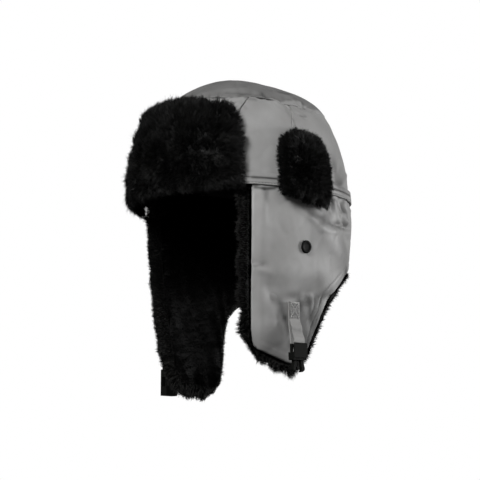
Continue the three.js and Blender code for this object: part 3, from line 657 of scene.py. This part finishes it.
# Materials.
class Look:
    """A material or world whose nodes are added and linked with short calls."""

    def __init__(self, owner, shader="Principled BSDF", **values):
        owner.use_nodes = True
        self.owner, self.tree = owner, owner.node_tree
        self.shader = self.tree.nodes[shader]
        self.set(self.shader, values)

    def set(self, node, values):
        """Inputs and settings by name, with _ for a space. An output given as a value is linked."""
        for key, value in values.items():
            name = key.replace("_", " ")
            if name not in node.inputs:
                setattr(node, key, value)
            elif isinstance(value, bpy.types.NodeSocket):
                self.tree.links.new(value, node.inputs[name])
            else:
                node.inputs[name].default_value = value

    def add(self, kind, output, **values):
        """The named output of a new node."""
        made = self.tree.nodes.new("ShaderNode" + kind)
        self.set(made, values)
        return made.outputs[output]

    def ramp(self, factor, stops):
        """A colour that follows a factor, between stops of place and colour."""
        socket = self.add("ValToRGB", "Color", Fac=factor)
        elements = socket.node.color_ramp.elements
        for element, (place, color) in zip(elements, (stops[0], stops[-1])):
            element.position, element.color = place, (*color, 1)
        for place, color in stops[1:-1]:
            elements.new(place).color = (*color, 1)
        return socket

    def grain(self, scale, **values):
        """Noise in the object's own coordinates."""
        place = self.add("TexCoord", "Object")
        return self.add("TexNoise", "Fac", Vector=place, Scale=scale, **values)

    def color(self, socket, with_painted_shade=False):
        """Sets the colour; with painted shade it goes towards nearly black by the mesh's attribute of painted
        shade and tone.
        """
        if with_painted_shade:
            tone_and_painted_shade = self.add("Attribute", "Fac", attribute_name="tone_and_painted_shade")
            socket = self.add("Mix", "Result", data_type="RGBA", A=socket, B=PAINTED_SHADE_BLACK, Factor=tone_and_painted_shade)
        self.set(self.shader, {"Base_Color": socket})

    def bump(self, height, strength, distance, **values):
        normal = self.add("Bump", "Normal", Height=height, Strength=strength, Distance=distance, **values)
        self.set(self.shader, {"Normal": normal})
        return normal


def new_look(name, **values):
    return Look(bpy.data.materials.new(name), **values)


# Nearly black, towards which painted shade darkens the cloth and the tape.
PAINTED_SHADE_BLACK = (0.022, 0.022, 0.021, 1)


def cloth_material(name, dark, light):
    """Grey satin-faced woven cloth: soft patches of tone and a fine plain weave in the bump."""
    look = new_look(name, Roughness=0.52, Specular_IOR_Level=0.3, Sheen_Weight=0.04, Sheen_Roughness=0.4)
    patches = look.grain(22.0, Detail=4.0, Roughness=0.55)
    look.color(look.ramp(patches, [(0.35, dark), (0.65, light)]), with_painted_shade=True)
    cut = look.add("UVMap", "UV", uv_map="cut")
    warp, weft = (look.add("TexWave", "Fac", wave_type="BANDS", bands_direction=direction, Vector=cut,
                           Scale=0.42, Distortion=0.6, Detail=1.0) for direction in "XY")
    weave = look.add("Math", "Value", operation="MULTIPLY")
    for socket, thread in zip(weave.node.inputs, (warp, weft)):
        look.tree.links.new(thread, socket)
    fine = look.bump(weave, 0.12, 0.0002)
    look.bump(look.grain(150.0, Detail=3.0, Roughness=0.6), 0.15, 0.0006, Normal=fine)
    return look.owner


def lining_material():
    look = new_look("lining_cloth", Roughness=0.42)
    grain = look.grain(260.0, Detail=3.0)
    look.bump(grain, 0.2, 0.0004)
    look.color(look.ramp(grain, [(0.3, (0.008,) * 3), (0.7, (0.016,) * 3)]))
    return look.owner


def fur_material(name, sheen):
    """Black pile: nearly black at the roots, greyer towards the tips, with painted highlights in patches."""
    look = new_look(name, Roughness=0.5, Specular_IOR_Level=sheen)
    tone = look.add("Attribute", "Fac", attribute_name="tone")
    stops = [(0.0, (0.0006,) * 3), (0.5, (0.012, 0.012, 0.0115)), (1.0, (0.06, 0.06, 0.058))]
    look.color(look.ramp(tone, stops))
    return look.owner


def webbing_material():
    """Grey nylon tape, with painted shade in the valleys of its ribs and from the mesh's attribute."""
    look = new_look("webbing", Roughness=0.55, Specular_IOR_Level=0.4)
    cut = look.add("UVMap", "UV", uv_map="cut")
    ribs = look.add("TexWave", "Fac", wave_type="BANDS", bands_direction="X", Vector=cut,
                    Scale=0.35, Distortion=1.2, Detail=2.0)
    look.color(look.ramp(ribs, [(0.0, (0.175, 0.174, 0.170)), (1.0, (0.265, 0.263, 0.258))]), with_painted_shade=True)
    look.bump(look.add("TexNoise", "Fac", Vector=cut, Scale=3.0, Detail=3.0), 0.35, 0.00015)
    return look.owner


def hard_material(name, color, roughness, gloss, scale, depth):
    """Moulded plastic or enamel: one dark colour that varies a little, and a fine grain."""
    look = new_look(name, Specular_IOR_Level=gloss)
    grain = look.grain(scale, Detail=3.0)
    stops = [(place, tuple(share * part for part in color)) for place, share in ((0.3, 0.8), (0.7, 1.25))]
    look.color(look.ramp(grain, stops))
    polish = look.add("MapRange", "Result", Value=grain, To_Min=roughness[0], To_Max=roughness[1])
    look.set(look.shader, {"Roughness": polish})
    look.bump(grain, 0.25, depth)
    return look.owner


def thread_material(name, dark, light):
    look = new_look(name, Roughness=0.5)
    look.color(look.ramp(look.grain(900.0, Detail=2.0), [(0.3, dark), (0.7, light)]))
    return look.owner


CLOTH_LOOK = cloth_material("shell_cloth", (0.262, 0.260, 0.256), (0.316, 0.315, 0.312))
LINING_LOOK = lining_material()
WEBBING_LOOK = webbing_material()
THREAD_DARK = thread_material("thread", (0.03, 0.03, 0.029), (0.055, 0.055, 0.054))
THREAD_LIGHT = thread_material("strap_thread", (0.32, 0.32, 0.31), (0.5, 0.5, 0.49))
PLASTIC_LOOK = hard_material("buckle_plastic", (0.0045, 0.0048, 0.0042), (0.55, 0.75), 0.06, 900.0, 0.00006)
ENAMEL_LOOK = hard_material("snap_enamel", (0.0045, 0.0045, 0.0045), (0.4, 0.55), 0.04, 500.0, 0.00003)
FUR_LOOK = fur_material("pile", 0.12)
DEEP_FUR_LOOK = fur_material("deep_pile", 0.03)


# Fur: tapered strands rooted in a copy of the frame's pile, in clumps, combed along a flow.
def node_surface(node):
    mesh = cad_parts[node].data
    mesh.calc_loop_triangles()
    points, faces = np.empty(len(mesh.vertices) * 3), np.empty(len(mesh.loop_triangles) * 3, np.int32)
    mesh.vertices.foreach_get("co", points)
    mesh.loop_triangles.foreach_get("vertices", faces)
    points, faces = points.reshape(-1, 3), faces.reshape(-1, 3)
    keys, index = np.unique((points * 1e5).round().astype(np.int64), axis=0, return_inverse=True)
    index = index.ravel()
    welded = np.zeros((len(keys), 3))
    welded[index] = points
    faces = index[faces]
    faces = faces[(faces != np.roll(faces, 1, axis=1)).all(1)]
    a, b, c = (welded[faces[:, k]] for k in range(3))
    crossed = np.cross(b - a, c - a)
    normals = np.zeros_like(welded)
    for k in range(3):
        np.add.at(normals, faces[:, k], crossed)
    return welded, faces, unit(normals), crossed


def nearest_of(places, points):
    """Number of the place nearest to each point."""
    tree = kdtree.KDTree(len(places))
    for number, place in enumerate(places):
        tree.insert(place, number)
    tree.balance()
    return np.array([tree.find(point)[1] for point in points])


STRAND_PARTS = ((0.55, 1.0, 0.55), (0.45, 0.45, 1.25))  # share of the length, rise, lay
CLUMPS = ((2.5, 0.62), (8.0, 0.16))  # spacing in millimetres, pull
GUARD_SHARE, GUARD_LENGTH, GUARD_PULL = 0.07, 1.28, 0.3
TONE_OF_PILE, TONE_OF_GLINT, TONE_OF_SKIN = 0.22, 0.75, 0.02
SKIN_DEPTH = 3.0
# Painted highlights on clumps of the visor's pile, as greyer patches.
GLINTS = (  # greyer patches of the visor's pile: angle, height, spread in millimetres, strength
    (166.5, 30, 6, 1.1),
    (163, 21.5, 3, 1.0),
    (154.5, 24.5, 3.4, 1.6),
    (148, 21.5, 3.4, 1.6),
    (144, 20, 3, 1.6),
    (141, 36.5, 3.6, 1.0),
    (156.5, 52.5, 3.6, 0.8),
    (150.5, 61, 4, 0.7),
    (-179.5, 46.5, 4, 0.7),
    (-179.5, 12, 7, 0.6),
    (170, -4.5, 5, 0.7),
    (159, -5.5, 5, 0.8),
    (145, -7.5, 5, 0.8),
    (134, 40, 9, 0.3),
    (-162, 18, 15, 0.3),
)


def fur(name, node, count, length, flow, weight, seed, sink=4.5, width=0.34, gloss=1.0, trim=None,
        lighter=None, look=FUR_LOOK):
    """Strands on the node's surface. flow(points, normals) combs them, weight(points, normals) thins them.

    trim(points, normals) scales their length, gloss the painted highlights in greyer patches, and
    lighter(points) the rest of the tone, for painted light and shade. A few guard hairs stand out of the
    clumps."""
    rng = np.random.default_rng(seed)
    points, faces, normals, crossed = node_surface(node)
    double_area = np.linalg.norm(crossed, axis=1)
    share = double_area * weight(points[faces].mean(1), unit(crossed))
    area = double_area[share > share.mean() * 0.1].sum() / 2 / MM**2
    chosen = rng.choice(len(faces), count, p=share / share.sum())
    u, v = rng.random(count), rng.random(count)
    fold = u + v > 1
    u[fold], v[fold] = 1 - u[fold], 1 - v[fold]
    mix = np.stack([1 - u - v, u, v], -1)[..., None]
    root = (points[faces[chosen]] * mix).sum(1)
    out = unit((normals[faces[chosen]] * mix).sum(1))
    comb = flow(root, out)
    comb = comb - out * (comb * out).sum(1, keepdims=True)
    size = length * MM * rng.uniform(0.7, 1.1, count) * (1 + 0.12 * noise(root * 110, seed + 5))
    guard = rng.random(count) < GUARD_SHARE
    size *= np.where(guard, GUARD_LENGTH, 1.0)
    if trim is not None:
        size *= trim(root, out)
    jitter = rng.normal(0, 0.17, (count, 3))
    sway = np.stack([noise(root * 85 + k * 17.3, seed + 9 + k) for k in range(3)], -1) * 0.3
    path = [root - out * sink * MM]
    for part, (share_, rise, lay) in enumerate(STRAND_PARTS):
        heading = unit(out * rise + comb * lay + jitter * (1 + part) + sway * (1 + part) / 2)
        path.append(path[-1] + heading * (size * share_)[:, None])
    tone = rng.uniform(0.3, 0.8, count)
    for spacing, pull in CLUMPS:
        centres = rng.choice(count, min(max(int(area / spacing**2), 60), count), replace=False)
        nearest = centres[nearest_of(root[centres], root)]
        for part, gather in ((1, 0.35), (2, 1.0)):
            drawn = np.where(guard, GUARD_PULL, 1.0)[:, None] * pull * gather
            path[part] = path[part] + (path[part][nearest] - path[part]) * drawn
        tone = tone * 0.6 + tone[nearest] * 0.4
    # Painted highlights: random patches of sheen on the clumps, and the listed GLINTS.
    glint = clamp(noise(root * (60, 60, 85), seed + 21) * 3.0 - 1.2) * 0.35
    for angle, rise, spread, strength in GLINTS:
        turn = (place_of(root) - angle + 180) % 360 - 180
        glint = glint + strength * bell(np.hypot(arc(turn), height_of(root) - rise) / spread)
    tone = TONE_OF_PILE * tone * (1 if lighter is None else lighter(root))
    tone = clamp(tone + TONE_OF_GLINT * gloss * glint * rng.uniform(0.3, 1, count))
    towards = unit(path[1] - path[0])
    side = unit(np.cross(towards, out))
    turn = rng.uniform(-1.0, 1.0, count)[:, None]
    side = unit(side * np.cos(turn) + np.cross(towards, side) * np.sin(turn))
    corners, tones = [], []
    for part, (thick, shown) in enumerate(((1.0, 0.15), (0.75, 0.7))):
        half = side * (width * MM * thick / 2)
        corners += [path[part] - half, path[part] + half]
        tones += [tone * shown] * 2
    strands = np.stack([*corners, path[2]], 1)
    first = np.arange(count)[:, None] * 5
    quads, tips = first + (0, 1, 3, 2), first + (2, 3, 4)
    base = points - normals * SKIN_DEPTH * MM
    made = new_object(name, np.concatenate([strands.reshape(-1, 3), base]), [quads, tips, faces + count * 5])
    tones = np.stack([*tones, tone], 1).ravel()
    set_attribute(made, "tone", np.concatenate([tones, np.full(len(base), TONE_OF_SKIN)]))
    finish_piece(made, look, "pile", node)


def place_of(points):
    """Degrees round the head of points, from the back towards the wearer's left."""
    return np.degrees(np.arctan2(points[:, 0], points[:, 1]))


def height_of(points):
    return points[:, 2] / MM


DOWN = np.array([0.0, 0.0, -1.0])


def outward(points):
    return unit(points * (1, 1, 0))


def sideways(points):
    """Unit vectors round the head, towards the wearer's left at the back."""
    return outward(points)[:, [1, 0, 2]] * (1, -1, 1)


def visor_flow(points, normals):
    from_middle = (place_of(points) % 360 - 182) / 49
    rise = np.clip((height_of(points) - 26) / 40, -1, 1)[:, None]
    return -DOWN * rise * 0.9 + sideways(points) * (from_middle**3)[:, None]


def outward_weight(points, normals):
    return clamp(0.35 + (normals * outward(points)).sum(1)) + 0.02


def tab_flow(side):
    def flow(points, normals):
        turn = (place_of(points) * side - 92.2) / 19.5
        rise = np.clip((height_of(points) - 14) / 34, -1, 1)[:, None]
        return -DOWN * rise + sideways(points) * (turn * side)[:, None]
    return flow


def hem_line():
    """Points of the curtain's free edge in metres, and the way out past it."""
    column = np.linspace(0, 1, 700)
    across, run, out, _ = hem_at(column)
    share = np.linspace(0.02, 0.98, 90)
    for end, sign in ((0.0, -1), (1.0, 1)):
        place = curtain_place(np.full_like(share, end), share)
        across, run = np.append(across, place[0]), np.append(run, place[1])
        out = np.vstack([out, np.tile((sign, 0), (len(share), 1))])
    folds = frame_lift(angle_of(across), run)
    here = wall(angle_of(across), run, -CLOTH / 2, folds)
    there = wall(angle_of(across + out[:, 0]), run + out[:, 1], -CLOTH / 2, folds)
    return here, unit(there - here)


HEM_POINTS, HEM_OUT = hem_line()


def nearest_hem(points):
    """Millimetres past the cloth's free edge, and the way out past it."""
    number = nearest_of(HEM_POINTS, points)
    out = HEM_OUT[number]
    return ((points - HEM_POINTS[number]) * out).sum(1) / MM, out


def curtain_flow(points, normals):
    past, out = nearest_hem(points)
    blend = clamp((past + 9) / 9)[:, None]
    lean = np.clip((past - 1) / 5, -0.35, 1)[:, None]
    return DOWN * 0.75 * (1 - blend) + (out * 1.3 * lean + outward(points) * (0.9 - 0.5 * lean)) * blend


def near_place(points, angle, wide, height, tall):
    """1 at an angle and a height in millimetres, fading to all sides."""
    return bell(np.hypot((place_of(points) % 360 - angle % 360) / wide, (height_of(points) - height) / tall))


def curtain_trim(points, normals):
    """The pile is cut shorter where it turns out past the cloth, but less so at the left flap's tip.

    It is left longer too at the right flap's upper corner, where it fills the gap under the visor."""
    past, _ = nearest_hem(points)
    longer = 0.4 * near_place(points, 90, 8, -168, 14) + 0.9 * near_place(points, -126.5, 7, -9, 11)
    return np.where(past > -1.5, 0.72 + longer, 1.0)


def curtain_painted_light_and_shade(points):
    """Painted shade darkens the pile inside the flaps, and painted light makes it greyer on the turned-out
    border.
    """
    past, _ = nearest_hem(points)
    return 0.25 + 6.0 * clamp((past + 3) / 4)


def curtain_weight(points, normals):
    """Strands on the side that faces the head and on the border, none against the cloth."""
    faces_in = clamp(0.3 - (normals * outward(points)).sum(1))
    past, _ = nearest_hem(points)
    beside_cloth = np.where(past < 3, 2.6, 1.6)
    return np.where(past > -1.0, beside_cloth, np.where(faces_in > 0.3, 1.0, 0.0)) + 1e-5


def visor_trim(points, normals):
    """The visor's pile hangs longer at its lower far corner."""
    return 1 + 0.7 * near_place(points, 226, 9, 3, 9)


def make_fur():
    fur("visor_fur", "visor_pile", 62000, 9.5, visor_flow, outward_weight, 11, trim=visor_trim)
    fur("brow_fur", "brow_pile", 14000, 7, lambda p, n: DOWN * 0.6, lambda p, n: np.ones(len(p)), 12)
    for name, side in (("left", 1), ("right", -1)):
        fur(f"tab_fur_{name}", f"ear_tab_{name}", 20000, 7.5, tab_flow(side), outward_weight, 13 + side,
            sink=3.5, gloss=0.5)
    fur("curtain_fur", "curtain_pile", 63000, 9, curtain_flow, curtain_weight, 17, gloss=0.15,
        trim=curtain_trim, lighter=curtain_painted_light_and_shade, look=DEEP_FUR_LOOK)


# Snaps, webbing and buckles. The tables are the frame's.
SNAP_ANGLE, SNAP_RUN, SNAP_CLEAR = 90.0, -55.0, 0.5
SNAP_PROFILE = (  # radius, height
    (5.6, 0), (5.9, 0.15), (6.0, 0.45), (6.0, 0.8), (5.85, 1.2), (5.5, 1.55), (4.95, 1.78), (4.3, 1.8),
    (3.8, 1.62), (3.35, 1.36), (2.8, 1.24), (1.6, 1.2),
)
WEBBING_WIDTH, WEBBING_THICK, WEBBING_SEWN, WEBBING_HANG, WEBBING_BULGE = 12.0, 1.3, 15.0, 25.0, 6.0
BAR_RADIUS, BAR_CLEAR = 1.6, 0.35
LOOP_RADIUS = BAR_RADIUS + BAR_CLEAR + WEBBING_THICK / 2
RIB_PITCH, RIB_WIDTH, RIB_DEPTH, TAPE_ROLL = 1.2, 0.68, 0.06, 0.55
BOX_HALF, BOX_TOP, BOX_FOOT, END_HALF, END_ROWS = 4.6, -1.4, -13.8, 5.2, (-0.5, -0.8, -1.1)
STITCH_STEP = 1.55
STRAP_PLACES = {"left": (97.5, -105.5, 0.7), "right": (-109.5, -112.0, 0.4)}  # angle, run, clear


def frame_on_wall(degrees, run, clear, upright=False):
    """Origin in metres and the axes across, up and out of a frame on the cloth."""
    degrees, run = np.array([degrees]), np.array([run])
    out = surface_normal(degrees, run)[0]
    if upright:
        out = outward(out)
    across = unit(np.cross((0, 0, 1), out))
    origin = wall(degrees, run, clear, frame_lift(degrees, run))[0]
    return origin, np.stack([across, np.cross(out, across), out])


def snap_cap(name, side):
    origin, axes = frame_on_wall(side * SNAP_ANGLE, SNAP_RUN, SNAP_CLEAR)
    count, rows = 64, len(SNAP_PROFILE)
    radius, height = np.array(SNAP_PROFILE).T
    turn = all_round(count)[:, None]
    ring = ring_points(turn, radius, height + 0 * turn).reshape(-1, 3)
    points = np.concatenate([ring, [(0, 0, 0), (0, 0, height[-1])]]) * MM
    column = np.arange(count)
    here, after, hub = column * rows, (column + 1) % count * rows, 0 * column + count * rows
    foot = np.stack([after, here, hub], -1)
    top = np.stack([here + rows - 1, after + rows - 1, hub + 1], -1)
    faces = [grid_faces(count, rows, ring=True), foot, top]
    cap = new_object(f"snap_cap_{name}", origin + points @ axes, faces)
    finish_piece(cap, ENAMEL_LOOK, "snap_metal", f"snap_{name}")


def bezier(points, count):
    t = np.linspace(0, 1, count)[:, None]
    a, b, c, d = (np.array(point, float) for point in points)
    return a * (1 - t) ** 3 + 3 * b * (1 - t) ** 2 * t + 3 * c * (1 - t) * t**2 + d * t**3


def webbing_path():
    """Middle line of the webbing in side view, from its hidden sewn end round the bar to its outer end."""
    top, bar = -WEBBING_SEWN - 1.5, -WEBBING_SEWN - WEBBING_HANG
    near, far = WEBBING_BULGE - LOOP_RADIUS, WEBBING_BULGE + LOOP_RADIUS
    back, front = WEBBING_THICK / 2, WEBBING_THICK * 1.5
    turn = np.radians(np.linspace(180, 360, 24))[1:-1]
    third, half = WEBBING_HANG / 3, WEBBING_HANG / 2
    bulge = front + WEBBING_BULGE / 2
    path = np.concatenate([
        [(back, -0.05)],
        bezier([(back, top), (back, top - half), (near, bar + half), (near, bar)], 60),
        np.stack([WEBBING_BULGE + np.cos(turn) * LOOP_RADIUS, bar + np.sin(turn) * LOOP_RADIUS], -1),
        bezier([(far, bar), (far, bar + third), (bulge, top - third), (front, top)], 60),
        [(front, -0.05)],
    ])
    length = length_along(path)
    even = np.arange(0, length[-1], 0.4)
    return np.stack([np.interp(even, length, path[:, k]) for k in (0, 1)], -1), even


def webbing(name):
    """Ribbed tape along its path, with rolled edges, a soft wave in the front layer and its stitches."""
    origin, axes = frame_on_wall(*STRAP_PLACES[name], upright=True)
    path, along = webbing_path()
    from_end = along[-1] - along
    ahead = unit(np.gradient(path, axis=0))
    side = np.stack([-ahead[:, 1], ahead[:, 0]], -1)
    half = WEBBING_WIDTH / 2
    edge = np.array([0, 0.08, 0.3])
    across = np.concatenate([edge - half, np.linspace(0.7 - half, half - 0.7, 25), half - edge[::-1]])
    across = across[None, :]
    rolled = np.sqrt(np.clip(1 - clamp(1 - (half - np.abs(across)) / TAPE_ROLL) ** 2, 0.05, 1))
    ribs = RIB_DEPTH * np.cos(2 * math.pi * along[:, None] / RIB_PITCH) * np.cos(math.pi * across / RIB_WIDTH)
    thick = (WEBBING_THICK / 2 - 1.5 * RIB_DEPTH) * rolled + ribs * (rolled > 0.9)
    is_front = clamp((44 - from_end) / 6) * clamp((from_end - 17) / 6)
    wave = (0.5 * np.sin(2 * math.pi * from_end / 13 + 0.6) * is_front)[:, None]
    faces = []
    for sign in (-1, 1):
        flat = path[:, None, :] + side[:, None, :] * (sign * thick + wave)[..., None]
        places = np.stack([across + 0 * thick, flat[..., 1], flat[..., 0]], -1) * MM
        faces.append(origin + places @ axes)
    # The tape is darker over its sewn part. Painted shade lies under the bend of the front layer and on the
    # front layer's face that looks into the gap between the layers.
    sewn = 0.62 * clamp((WEBBING_SEWN + 1 - from_end) / 1.5)
    painted_bend_shade = 0.36 * bell((from_end - WEBBING_SEWN - 11) / 2.4)
    front_face = (sewn + painted_bend_shade)[:, None] * (1 + 0.5 * flat_noise(across / 1.6, along[:, None] / 1.6, 61))
    is_outer_layer = clamp((along - along[-1] / 2) / 2)[:, None]
    tone_and_painted_shade = front_face, 0.85 * is_outer_layer + 0 * front_face
    cloth_shell(f"tape_{name}", f"strap_{name}", *faces, (along[:, None], across), tone_and_painted_shade,
                look=WEBBING_LOOK, slot="webbing")
    corners = [(x, y) for x in (-BOX_HALF, BOX_HALF) for y in (BOX_TOP, BOX_FOOT)]
    rows = [(corners[a], corners[b]) for a, b in ((0, 2), (1, 3), (0, 1), (2, 3), (0, 3), (2, 1))]
    rows += [((-END_HALF, y), (END_HALF, y)) for y in END_ROWS]
    places, lines = [], []
    for start, end in np.array(rows):
        reach = np.linalg.norm(end - start)
        count = max(int(reach / STITCH_STEP), 2)
        share = (np.arange(count)[:, None] + 0.5) / count
        height = np.full(count, WEBBING_THICK * 2 - 0.02)
        places.append(np.column_stack([start + (end - start) * share, height]))
        lines.append(np.tile(np.append((end - start) / reach, 0), (count, 1)))
    places, lines = origin + np.concatenate(places) * MM @ axes, np.concatenate(lines) @ axes
    out = np.tile(axes[2], (len(places), 1))
    stitches(f"box_stitch_{name}", THREAD_LIGHT, "webbing", places, lines, out, 0.66, 0.26)


BUCKLE_EDGE = 0.35


def buckle(name):
    """The frame's buckle half with its flat faces joined and every hard edge rounded."""
    form = bmesh.new()
    form.from_mesh(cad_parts[f"buckle_{name}"].data)
    bmesh.ops.remove_doubles(form, verts=form.verts, dist=2e-6)
    bmesh.ops.dissolve_limit(form, angle_limit=math.radians(2), verts=form.verts, edges=form.edges)
    hard = [edge for edge in form.edges if edge.is_manifold and edge.calc_face_angle() > math.radians(30)]
    bmesh.ops.bevel(form, geom=hard, offset=BUCKLE_EDGE * MM, segments=3, profile=0.5, affect="EDGES",
                    clamp_overlap=True)
    mesh = bpy.data.meshes.new(f"moulded_{name}")
    form.to_mesh(mesh)
    form.free()
    made = add_smooth(f"moulded_{name}", mesh)
    weighted = made.modifiers.new("weighted", "WEIGHTED_NORMAL")
    weighted.weight, weighted.keep_sharp = 90, True
    finish_piece(made, PLASTIC_LOOK, "buckle_plastic", f"buckle_{name}")


def front_seam(run):
    return table_value(FRONT_SEAM, run)


def side_seam(run):
    return table_value(SIDE_SEAM, run)


crown_panel("front_panel", "crown_front", front_seam, lambda run: 360 - front_seam(run), 101)
crown_panel("left_panel", "crown_left", side_seam, front_seam, 131)
crown_panel("right_panel", "crown_right", lambda run: -front_seam(run), lambda run: -side_seam(run), 161)
crown_panel("back_panel", "crown_back", lambda run: -side_seam(run), side_seam, 191)
crown_top()
crown_band()
crown_lining()
curtain_shell()
visor_backing()
make_fur()
band_stitches()
for label, flap in (("left", 1), ("right", -1)):
    snap_cap(label, flap)
    webbing(label)
    buckle(label)


# Camera, light and stage.
def aim(thing, place, target):
    thing.location = place
    thing.rotation_euler = (Vector(target) - Vector(place)).to_track_quat("-Z", "Y").to_euler()


CAMERA_AZIMUTH, CAMERA_ELEVATION, CAMERA_DISTANCE = math.radians(50), math.radians(-10.5), 1.5
camera = bpy.data.objects.new("camera", bpy.data.cameras.new("camera"))
camera.data.sensor_width = 36
camera.data.lens = 118.1
camera.data.shift_x = -0.0125
camera.data.shift_y = -0.0833
back = Vector((
    math.sin(CAMERA_AZIMUTH) * math.cos(CAMERA_ELEVATION),
    -math.cos(CAMERA_AZIMUTH) * math.cos(CAMERA_ELEVATION),
    math.sin(CAMERA_ELEVATION),
))
aim(camera, back * CAMERA_DISTANCE, (0, 0, 0))
bpy.context.scene.collection.objects.link(camera)
bpy.context.scene.camera = camera


def area_light(name, place, target, size, power):
    data = bpy.data.lights.new(name, "AREA")
    data.shape, data.size, data.energy = "DISK", size, power
    made = bpy.data.objects.new(name, data)
    aim(made, place, target)
    bpy.context.scene.collection.objects.link(made)


area_light("key", (0.72, -1.3, 0.55), (0, 0, 0.02), 0.5, 26)
area_light("rim", (0.8, 1.38, 0.1), (0, 0, 0.04), 0.4, 20)


def make_world():
    """Soft light of a pale room, strongest level with the hat and weak from overhead and below."""
    world = bpy.data.worlds.new("studio")
    look = Look(world, "Background", Strength=0.42)
    height = look.add("SeparateXYZ", "Z", Vector=look.add("TexCoord", "Generated"))
    share = look.add("MapRange", "Result", Value=height, From_Min=-1.0)
    levels = ((0.0, 0.1), (0.35, 0.35), (0.5, 1.0), (0.6, 0.75), (0.8, 0.12), (1.0, 0.06))
    look.set(look.shader, {"Color": look.ramp(share, [(place, (level,) * 3) for place, level in levels])})
    bpy.context.scene.world = world


def add_stage(name, points, faces, unseen_by, grey, roughness, glow):
    """Part of the room, which gives back light of its own and is left out of some kinds of ray."""
    look = new_look(name, Base_Color=(grey, grey, grey, 1), Roughness=roughness, Specular_IOR_Level=0.0,
                    Emission_Color=(1, 1, 1, 1), Emission_Strength=glow)
    made = new_object(name, points, [faces])
    made.data.materials.append(look.owner)
    for ray in unseen_by:
        setattr(made, f"visible_{ray}", False)


FLOOR_Z, FLOOR_REACH = -0.36, 9.0
ROOM_RADIUS, ROOM_SIDES = 8.0, 48
ROOM_LEVELS = ((FLOOR_Z, 1.0), (4.0, 1.0), (7.0, 0.7), (8.5, 0.02))  # height, share of the radius


def make_room():
    """A white room that the camera sees and that casts no light on the hat, and its pale floor."""
    turn, level = grid(all_round(ROOM_SIDES), np.arange(len(ROOM_LEVELS)))
    height, size = np.array(ROOM_LEVELS)[level].transpose(2, 0, 1)
    walls = ring_points(turn, ROOM_RADIUS * size, height).reshape(-1, 3)
    faces = grid_faces(ROOM_SIDES, len(ROOM_LEVELS), ring=True)
    add_stage("backdrop", walls, faces, ("diffuse", "glossy", "shadow", "transmission"), 0, 0.5, 1.0)
    corners = [(x * FLOOR_REACH, y * FLOOR_REACH, FLOOR_Z) for x, y in ((-1, -1), (1, -1), (1, 1), (-1, 1))]
    add_stage("floor", corners, np.array([[0, 1, 2, 3]]), ("diffuse", "glossy"), 0.35, 0.9, 0.6)


make_world()
make_room()
bpy.context.scene.view_settings.view_transform = "Standard"
